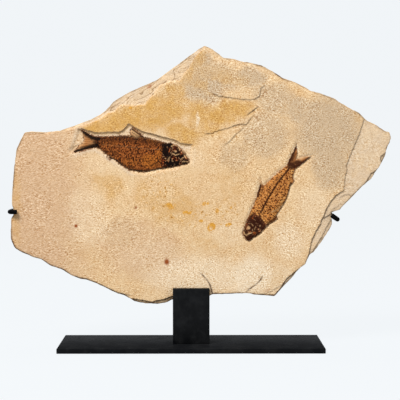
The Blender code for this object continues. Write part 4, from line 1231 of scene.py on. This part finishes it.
# -------------------------------------------------------------------- finishes
class Recipe:
    """Short hand for wiring the nodes of one finish, group or world."""

    def __init__(self, tree):
        self.tree = tree

    def add(self, kind, settings=None, **inputs):
        """New node, with its settings and what goes into its sockets."""
        made = self.tree.nodes.new(kind)
        for name, value in (settings or {}).items():
            setattr(made, name, value)
        for name, value in inputs.items():
            self.feed(made.inputs[name.replace("_", " ")], value)
        return made

    def feed(self, socket, value):
        """Link a socket, or set it to a constant."""
        if isinstance(value, bpy.types.NodeSocket):
            self.tree.links.new(value, socket)
        else:
            socket.default_value = value

    def mix(self, share, first, second, blend="MIX"):
        """Colour with a share of the second over the first."""
        made = self.add("ShaderNodeMix", {"data_type": "RGBA", "blend_type": blend})
        for index, value in ((0, share), (6, first), (7, second)):
            self.feed(made.inputs[index], value)
        return made.outputs[2]

    def calc(self, operation, first, second=0.0, clamp=False):
        """Number worked out from one or two others."""
        made = self.add("ShaderNodeMath", {"operation": operation, "use_clamp": clamp})
        self.feed(made.inputs[0], first)
        self.feed(made.inputs[1], second)
        return made.outputs[0]

    def times(self, first, second, clamp=False):
        """One number times another."""
        return self.calc("MULTIPLY", first, second, clamp)

    def plus(self, first, second):
        """One number and another."""
        return self.calc("ADD", first, second)

    def minus(self, first, second):
        """One number less another."""
        return self.calc("SUBTRACT", first, second)

    def band(self, value, low, high, start=0.0, end=1.0):
        """Value stretched so that low gives start and high gives end."""
        made = self.add("ShaderNodeMapRange", {"interpolation_type": "SMOOTHSTEP"})
        for index, number in enumerate((value, low, high, start, end)):
            self.feed(made.inputs[index], number)
        return made.outputs[0]

    def layer(self, name):
        """Number kept on each vertex."""
        return self.add("ShaderNodeAttribute", {"attribute_name": name}).outputs["Fac"]

    def on_piece(self):
        """Places on the piece, in metres."""
        return self.add("ShaderNodeTexCoord").outputs["Object"]

    def mapped(self, where, scale, turn=(0.0, 0.0, 0.0), kind="POINT"):
        """Places scaled and turned, in degrees: a POINT is scaled first, a TEXTURE is turned first."""
        angles = tuple(math.radians(angle) for angle in turn)
        return self.add("ShaderNodeMapping", {"vector_type": kind}, Vector=where, Rotation=angles,
                        Scale=scale).outputs[0]

    def grain(self, where, size, detail=4.0, rough=0.6, distort=0.0):
        """Noise with lumps of a size in millimetres."""
        made = self.add("ShaderNodeTexNoise", None, Vector=where, Scale=1000.0 / size, Detail=detail,
                        Roughness=rough, Distortion=distort)
        return made.outputs["Fac"]

    def bump(self, shader, height, distance, strength):
        """Fine relief of a surface, with its height in metres."""
        made = self.add("ShaderNodeBump", None, Height=height, Distance=distance, Strength=strength)
        self.feed(shader.inputs["Normal"], made.outputs[0])


def new_group(name, inputs, outputs):
    """Node group with named sockets, and the recipe that fills it."""
    group = bpy.data.node_groups.new(name, "ShaderNodeTree")
    for label, kind, value in inputs:
        socket = group.interface.new_socket(name=label, in_out="INPUT", socket_type=kind)
        if value is not None:
            socket.default_value = value
    for label, kind in outputs:
        group.interface.new_socket(name=label, in_out="OUTPUT", socket_type=kind)
    return group, Recipe(group), group.nodes.new("NodeGroupInput"), group.nodes.new("NodeGroupOutput")


def stone_grain_group():
    """Grain of a split stone face: fine speckle, short level streaks and soft clouds."""
    group, r, given, result = new_group(
        "stone grain",
        [("Where", "NodeSocketVector", None), ("Streaks", "NodeSocketFloat", 0.5)],
        [("Speckle", "NodeSocketFloat"), ("Clouds", "NodeSocketFloat"), ("Height", "NodeSocketFloat")])
    where = given.outputs["Where"]
    fine = r.grain(r.mapped(where, (0.85, 1.0, 1.2)), 1.2, 1.5, 0.75)
    some_streaks = r.grain(r.mapped(where, (1.0, 1.0, 2.8), (0.0, -38.0, 0.0)), 2.2, 2.0, 0.6, 0.4)
    more_streaks = r.grain(r.mapped(where, (1.0, 1.0, 2.6), (0.0, 46.0, 0.0)), 2.0, 2.0, 0.6, 0.4)
    speckle = r.add("ShaderNodeMix", {"data_type": "FLOAT"})
    r.feed(speckle.inputs[0], given.outputs["Streaks"])
    r.feed(speckle.inputs[2], fine)
    r.feed(speckle.inputs[3], r.times(r.plus(some_streaks, more_streaks), 0.5))
    r.feed(result.inputs["Speckle"], speckle.outputs[0])
    r.feed(result.inputs["Clouds"], r.grain(where, 9.0, 4.0, 0.6, 0.4))
    r.feed(result.inputs["Height"], r.plus(speckle.outputs[0], r.times(r.grain(where, 1.1, 2.0), 0.4)))
    return group


def worn_paint_group():
    """Satin paint rubbed thin on corners, with a fine orange peel and settled dust."""
    group, r, given, result = new_group(
        "worn paint",
        [("Where", "NodeSocketVector", None), ("Corner", "NodeSocketFloat", 0.0)],
        [("Rubbed", "NodeSocketFloat"), ("Dust", "NodeSocketFloat"), ("Height", "NodeSocketFloat")])
    where = given.outputs["Where"]
    patchy = r.band(r.grain(where, 14.0, 5.0, 0.65), 0.42, 0.66)
    r.feed(result.inputs["Rubbed"], r.times(given.outputs["Corner"], patchy, clamp=True))
    r.feed(result.inputs["Dust"], r.band(r.grain(where, 32.0, 6.0, 0.7), 0.45, 0.8))
    r.feed(result.inputs["Height"], r.grain(where, 0.8, 2.0, 0.5))
    return group


def new_finish(name):
    """Material with its Principled shader, and the recipe that wires it."""
    made = bpy.data.materials.new(name)
    made.use_nodes = True
    return made, Recipe(made.node_tree), made.node_tree.nodes["Principled BSDF"]


def srgb(red, green, blue):
    """Colour as a mixing scale of 0 to 255 gives it, in linear light."""
    channels = []
    for value in (red, green, blue):
        share = value / 255.0
        channels.append(share / 12.92 if share <= 0.04045 else ((share + 0.055) / 1.055) ** 2.4)
    return (*channels, 1.0)


def stained_stone(r, clouds):
    """Bare stone with its broad stains and its fresh places."""
    def patch(name):
        """A stain with a cloudy rim."""
        uneven = r.plus(r.layer(name), r.times(r.minus(clouds, 0.5), 0.7))
        return r.times(r.band(uneven, -0.10, 1.10), r.band(r.layer(name), 0.0, 0.45))

    colour = r.mix(r.band(clouds, 0.32, 0.68), srgb(242, 207, 160), srgb(235, 195, 145))
    colour = r.mix(patch("blush"), colour, srgb(222, 183, 143))
    colour = r.mix(patch("grey"), colour, srgb(211, 183, 148))
    colour = r.mix(r.times(patch("gold"), r.band(clouds, 0.30, 0.66, 0.7, 1.0)), colour, srgb(219, 168, 92))
    colour = r.mix(r.times(r.layer("pale"), 0.85), colour, srgb(255, 231, 197))
    # Fresh and scraped stone is paler; round the left fish this also paints a highlight.
    uneven_fresh = r.times(r.layer("fresh"), r.band(clouds, 0.36, 0.62, 0.55, 1.0))
    return r.mix(uneven_fresh, colour, srgb(232, 206, 174))


def flake_lines(r, where, colour):
    """Thin leaning lines where fresh stone has split off in flakes: dark cracks, partly painted shadow, each
    with a soft side of painted shade.
    """
    leaning = r.mapped(where, (3.2, 1.0, 1.0), (0.0, -32.0, 0.0), "TEXTURE")
    terraces = r.calc("FRACT", r.times(r.grain(leaning, 15.0, 3.0, 0.5, 0.2), 10.0))
    flaked = r.times(r.layer("flakes"), r.band(r.layer("fresh"), 0.35, 0.7))
    # Painted shade on the soft side of each flake's step, then its dark crack, partly painted shadow.
    colour = r.mix(r.times(flaked, r.band(terraces, 0.0, 0.9, 0.35, 0.0)), colour, srgb(206, 170, 124))
    return r.mix(r.times(flaked, r.band(terraces, 0.02, 0.20, 0.75, 0.0)), colour, srgb(134, 94, 54))


def rust_specks(r, where, colour):
    """Rust stains, and dots that are light at their rims and dark in the middle."""
    blotches = r.band(r.grain(where, 2.6, 3.0, 0.7), 0.41, 0.50)
    rust = r.times(r.band(r.layer("rust"), 0.0, 0.6), blotches)
    colour = r.mix(r.times(rust, 0.95), colour, srgb(228, 162, 54))
    sprinkle = r.grain(where, 2.9, 1.0, 0.4)
    for low, high, tint in ((0.57, 0.70, srgb(222, 164, 76)), (0.69, 0.73, srgb(160, 100, 38))):
        colour = r.mix(r.times(r.layer("specks"), r.band(sprinkle, low, high, 0.0, 0.85)), colour, tint)
    return colour


def grained(r, where, speckle, blush, colour):
    """Stone with its grain, stronger where it's grey or blushing and weaker where fresh, and its pits."""
    rougher = r.plus(r.times(blush, 0.35), r.times(r.layer("grey"), 0.42))
    calmer = r.times(r.layer("fresh"), 0.55)
    uneven_split = r.band(r.grain(where, 13.0, 3.0), 0.38, 0.62, 0.62, 1.42)
    strength = r.times(uneven_split, r.minus(r.plus(1.10, rougher), calmer))
    swing = r.times(r.minus(speckle, 0.5), strength)
    tint = r.add("ShaderNodeCombineColor")
    for channel, gain in (("Red", 1.9), ("Green", 2.8), ("Blue", 4.0)):
        r.feed(tint.inputs[channel], r.calc("MAXIMUM", r.plus(1.0, r.times(swing, gain)), 0.3))
    colour = r.mix(1.0, colour, tint.outputs[0], "MULTIPLY")
    pits = r.band(r.grain(where, 1.9, 1.0, 0.5), 0.62, 0.72)
    grey_dots = r.times(pits, r.plus(0.25, r.times(r.layer("grey"), 0.3)))
    return r.mix(grey_dots, colour, srgb(150, 122, 92))


def bone_film(r, where, speckle, colour):
    """Thin film of bone that crumbles away round the fish."""
    crumbs = r.grain(where, 1.7, 3.0, 0.7)
    ragged = r.plus(r.layer("bone_film"), r.times(r.minus(crumbs, 0.5), 2.4))
    film = r.times(r.band(ragged, 0.64, 0.92), r.band(r.layer("bone_film"), 0.05, 0.4))
    bone = r.mix(r.band(speckle, 0.42, 0.58), srgb(70, 32, 14), srgb(150, 90, 46))
    return r.mix(r.times(film, 0.9), colour, bone)


def limestone_finish(groups):
    """Golden limestone: stains, flakes and grain on its face, painted shadow and shade at its ledges and rim,
    bedding in its broken edge.
    """
    made, r, shader = new_finish("limestone")
    where = r.on_piece()
    grain = r.add("ShaderNodeGroup", {"node_tree": groups["grain"]}, Where=where)
    blush = r.layer("blush")
    r.feed(grain.inputs["Streaks"], r.plus(0.40, r.times(blush, 0.50)))
    speckle = grain.outputs["Speckle"]
    colour = stained_stone(r, grain.outputs["Clouds"])
    colour = flake_lines(r, where, colour)
    colour = r.mix(r.times(r.layer("shade"), 0.9, clamp=True), colour, srgb(188, 154, 114))
    colour = rust_specks(r, where, colour)
    colour = grained(r, where, speckle, blush, colour)
    edge = r.layer("broken_edge")
    beds = r.grain(r.mapped(where, (0.06, 1.0, 0.06)), 1.1, 4.0, 0.65)
    bedding = r.mix(r.band(beds, 0.36, 0.62), srgb(176, 136, 92), srgb(226, 198, 156))
    colour = r.mix(r.times(edge, 0.85), colour, bedding)
    # Painted shadow and dirt at the foot of the ledges, with the painted shade along the rim of the face.
    colour = r.mix(r.times(r.layer("shadow_and_dirt_line"), 0.95, clamp=True), colour, srgb(74, 40, 16))
    colour = r.mix(r.layer("brown"), colour, srgb(158, 80, 32))
    r.feed(shader.inputs["Base Color"], bone_film(r, where, speckle, colour))
    r.feed(shader.inputs["Roughness"], r.band(speckle, 0.3, 0.7, 0.80, 0.96))
    shader.inputs["Specular IOR Level"].default_value = 0.25
    r.bump(shader, r.plus(grain.outputs["Height"], r.times(r.times(beds, edge), 1.5)), 0.0008, 0.6)
    return made


class BoneGrain:
    """The noises and the tone that one bone finish is made of; tone 0 is red brown, 1 is orange brown."""

    def __init__(self, r, tone):
        self.tone = tone
        self.where = r.on_piece()
        self.blotch = r.grain(self.where, 4.6, 4.0, 0.6, 0.5)
        along_body = r.add("ShaderNodeUVMap", {"uv_map": "along_fish"}).outputs[0]
        rows = r.mapped(along_body, (1.0, 0.5, 1.0), (0.0, 0.0, -32.0))
        hatched = r.grain(rows, 0.95 + 0.35 * tone, 3.0, 0.7, 0.3)
        lumps = r.grain(self.where, 2.2, 4.0, 0.8, 0.3)
        blotched = 0.2 - 0.2 * tone
        specks = r.plus(r.times(hatched, 0.6 * (1.0 - blotched)), r.times(lumps, 0.4 * (1.0 - blotched)))
        self.specks = r.plus(specks, r.times(self.blotch, blotched))
        self.crumbs = r.grain(self.where, 1.15, 1.0, 0.5)

    def between(self, red_brown, orange_brown):
        """Colour between two, by the tone."""
        return tuple(a + (b - a) * self.tone for a, b in zip(srgb(*red_brown), srgb(*orange_brown)))


def bone_flesh(r, g):
    """Body of the fish: specks, flecks, scale edges and ribs."""
    specks, tone = g.specks, g.tone
    colour = r.mix(r.band(specks, 0.458, 0.570 - 0.056 * tone), g.between((42, 14, 7), (76, 25, 6)),
                   g.between((204, 114, 52), (255, 180, 92)))
    colour = r.mix(r.band(g.blotch, 0.44, 0.66, 0.0, 0.45 + 0.1 * tone), colour,
                   g.between((84, 30, 12), (134, 56, 18)))
    colour = r.mix(r.band(specks, 0.535, 0.612, 0.0, 0.28 + 0.72 * tone), colour,
                   g.between((206, 128, 66), (255, 216, 140)))
    flecks = r.times(r.band(g.crumbs, 0.50, 0.60), r.band(specks, 0.45, 0.53, 0.0, 0.1 + 0.8 * tone))
    colour = r.mix(flecks, colour, g.between((228, 160, 96), (255, 214, 138)))
    colour = r.mix(r.times(r.layer("scales"), 0.45), colour, g.between((40, 16, 8), (104, 46, 14)))
    ribs = r.times(r.layer("ribs"), r.band(specks, 0.40, 0.58, 0.0, 0.4))
    return r.mix(ribs, colour, g.between((184, 118, 62), (232, 176, 108)))


def fin_skin(r, g, colour):
    """Fins and tail with their rays, and rust over them and the body."""
    fin = r.minus(1.0, r.layer("fleshed"))
    skin = r.mix(r.times(r.layer("rays"), r.band(g.blotch, 0.3, 0.6, 0.4, 1.0)),
                 g.between((198, 142, 92), (126, 62, 18)), srgb(78, 36, 16))
    colour = r.mix(r.times(fin, 0.9), colour, skin)
    rust = r.times(r.layer("rust"), r.band(g.specks, 0.43, 0.57, 0.0, 0.75 - 0.35 * g.tone))
    return r.mix(rust, colour, g.between((206, 122, 44), (216, 122, 52)))


def skull_and_marks(r, g, colour):
    """Dark head with light splinters of bone, and the listed marks."""
    tone = g.tone
    head = r.layer("head")
    skull = r.mix(r.band(g.blotch, 0.44, 0.60), g.between((24, 11, 7), (84, 42, 26)),
                  g.between((104, 40, 16), (128, 66, 34)))
    colour = r.mix(r.times(head, 0.96), colour, skull)
    dark = r.times(r.band(r.layer("dark"), 0.0, 0.9), r.band(g.crumbs, 0.36, 0.56, 1.0, 0.95 - 0.12 * tone))
    colour = r.mix(dark, colour, g.between((20, 11, 8), (66, 28, 14)))
    showing = r.times(head, r.band(r.layer("dark"), 0.80, 1.0, 0.9 - 0.1 * tone, 0.08 * tone))
    splinters = r.band(r.grain(g.where, 1.7, 2.0, 0.5, 0.8), 0.55 - 0.02 * tone, 0.62 - 0.03 * tone)
    chips = r.times(splinters, r.times(showing, r.band(g.blotch, 0.47, 0.56)))
    chip_colour = r.mix(r.band(g.blotch, 0.50, 0.60), srgb(238, 190, 138), srgb(186, 92, 34))
    colour = r.mix(chips, colour, chip_colour)
    pale = r.times(r.layer("pale"), r.band(g.specks, 0.38, 0.54, 0.5 + 0.2 * tone, 1.0))
    colour = r.mix(pale, colour, srgb(240, 190, 134))
    return r.mix(r.layer("streak"), colour, srgb(48, 26, 16))


def bone_finish(name, tone):
    """Dark fossil bone and scales."""
    made, r, shader = new_finish(name)
    g = BoneGrain(r, tone)
    colour = skull_and_marks(r, g, fin_skin(r, g, bone_flesh(r, g)))
    r.feed(shader.inputs["Base Color"], colour)
    r.feed(shader.inputs["Roughness"], r.band(g.blotch, 0.3, 0.7, 0.55, 0.75))
    shader.inputs["Specular IOR Level"].default_value = 0.05
    r.bump(shader, r.plus(g.specks, r.times(g.crumbs, 0.5)), 0.0006, 0.6)
    return made


def paint_finish(name, groups, coat, rough, specular):
    """Satin black powder coat."""
    made, r, shader = new_finish(name)
    worn = r.add("ShaderNodeGroup", {"node_tree": groups["paint"]}, Where=r.on_piece())
    r.feed(worn.inputs["Corner"], r.layer("worn_edge"))
    colour = r.mix(r.times(worn.outputs["Rubbed"], 0.35), coat, srgb(40, 41, 42))
    colour = r.mix(r.times(worn.outputs["Dust"], 0.04), colour, srgb(96, 94, 90))
    r.feed(shader.inputs["Base Color"], colour)
    r.feed(shader.inputs["Roughness"], r.band(worn.outputs["Dust"], 0.0, 1.0, rough, rough + 0.14))
    shader.inputs["Specular IOR Level"].default_value = specular
    r.bump(shader, worn.outputs["Height"], 0.00006, 0.5)
    return made


def dress(piece, finish):
    """Give a piece its one material."""
    piece.data.materials.clear()
    piece.data.materials.append(finish)


# ----------------------------------------------------------------------- stage
FLOOR_HALF_WIDTH = 4.0      # the stage is measured in metres
FLOOR_FRONT = -3.0
COVE_START = 2.0            # y at which the floor starts to curve up
COVE_RADIUS = 1.0
WALL_HEIGHT = 3.0
PAPER = (242, 246, 249)
PAPER_GLOW = 0.965
LESS_THROWN = 0.65          # how much less of its glow falls on the object
AIM = (0.0, 0.0, 0.16)      # near the middle of the slab: the lamps point at it
CAMERA_PLACE = (0.0028, -1.1024, 0.2041)
CAMERA_DIP = 0.0553         # angle below level, in radians
CAMERA_TURN = -0.00521
FOCAL_LENGTH = 102.6        # in mm, on film 36 mm wide


def paper_finish():
    """Pale paper that glows evenly, and less so in the light that it throws on the object."""
    made, r, shader = new_finish("pale_paper")
    shader.inputs["Base Color"].default_value = (0.035, 0.035, 0.035, 1.0)
    shader.inputs["Roughness"].default_value = 0.9
    shader.inputs["Specular IOR Level"].default_value = 0.0
    shader.inputs["Emission Color"].default_value = srgb(*PAPER)
    thrown = r.add("ShaderNodeLightPath").outputs["Is Diffuse Ray"]
    r.feed(shader.inputs["Emission Strength"], r.minus(PAPER_GLOW, r.times(thrown, LESS_THROWN)))
    return made


def pull(bm, edges, move):
    """Extrude edges by a move, and give the new edges at its end."""
    made = bmesh.ops.extrude_edge_only(bm, edges=edges)["geom"]
    fresh = verts_of(made)
    bmesh.ops.translate(bm, vec=move, verts=fresh)
    return [edge for edge in edges_of(made) if all(vert in fresh for vert in edge.verts)]


def build_backdrop():
    """Plain pale floor that curves up behind the object."""
    bm = bmesh.new()
    front = [bm.verts.new((side * FLOOR_HALF_WIDTH, FLOOR_FRONT, 0.0)) for side in (-1, 1)]
    last = pull(bm, [bm.edges.new(front)], (0.0, COVE_START - FLOOR_FRONT, 0.0))
    cove = bmesh.ops.spin(bm, geom=last, cent=(0.0, COVE_START, COVE_RADIUS), axis=(1.0, 0.0, 0.0),
                          angle=math.pi / 2, steps=24)["geom_last"]
    pull(bm, edges_of(cove), (0.0, 0.0, WALL_HEIGHT))
    bmesh.ops.recalc_face_normals(bm, faces=bm.faces)
    floor = put_in_scene("pale_floor", smooth_mesh(bm, "pale_floor"))
    dress(floor, paper_finish())


def soft_light(name, place, size, power):
    """Rectangular lamp aimed at the slab."""
    lamp = bpy.data.lights.new(name, "AREA")
    lamp.shape = "RECTANGLE"
    lamp.size, lamp.size_y = size
    lamp.energy = power
    holder = put_in_scene(name, lamp)
    holder.location = place
    holder.rotation_euler = (Vector(AIM) - Vector(place)).to_track_quat("-Z", "Y").to_euler()


def build_lights():
    """A key above the left, a fill from the right, a soft top and an even room."""
    soft_light("key_above_left", (-0.9, -1.1, 1.7), (0.7, 0.6), 45.0)
    soft_light("fill_right", (1.5, -1.3, 0.8), (1.2, 1.2), 7.0)
    soft_light("top", (0.0, 0.4, 2.2), (1.6, 1.0), 15.0)
    world = bpy.data.worlds.new("soft_room")
    world.use_nodes = True
    r = Recipe(world.node_tree)
    seen = r.add("ShaderNodeLightPath").outputs["Is Camera Ray"]
    background = world.node_tree.nodes["Background"]
    r.feed(background.inputs["Color"], r.mix(seen, (0.92, 0.95, 1.0, 1.0), srgb(*PAPER)))
    r.feed(background.inputs["Strength"], r.band(seen, 0.0, 1.0, 0.34, 1.0))
    bpy.context.scene.world = world


def build_camera():
    """Long lens in front of the slab, aimed slightly down."""
    lens = bpy.data.cameras.new("camera")
    lens.lens = FOCAL_LENGTH
    lens.sensor_width = 36.0
    lens.clip_end = 50.0
    camera = put_in_scene("camera", lens)
    camera.location = CAMERA_PLACE
    camera.rotation_euler = (math.pi / 2 - CAMERA_DIP, 0.0, CAMERA_TURN)
    bpy.context.scene.camera = camera


def build():
    """The stage, then every piece in its finish."""
    bpy.context.scene.view_settings.view_transform = "Standard"
    build_camera()
    build_lights()
    build_backdrop()
    groups = {"grain": stone_grain_group(), "paint": worn_paint_group()}
    dress(build_slab(), limestone_finish(groups))
    dress(build_fish(LEFT_FISH), bone_finish("dark_fossil_bone", LEFT_FISH["tone"]))
    dress(build_fish(RIGHT_FISH), bone_finish("amber_fossil_bone", RIGHT_FISH["tone"]))
    dress(build_base_plate(), paint_finish("satin_black_plate", groups, srgb(22, 23, 25), 0.22, 0.0004))
    dress(build_holder_block(), paint_finish("satin_black_block", groups, srgb(9, 10, 12), 0.42, 0.11))
    rods = paint_finish("satin_black_rod", groups, srgb(8, 9, 10), 0.40, 0.01)
    for arm in build_arms():
        dress(arm, rods)


build()
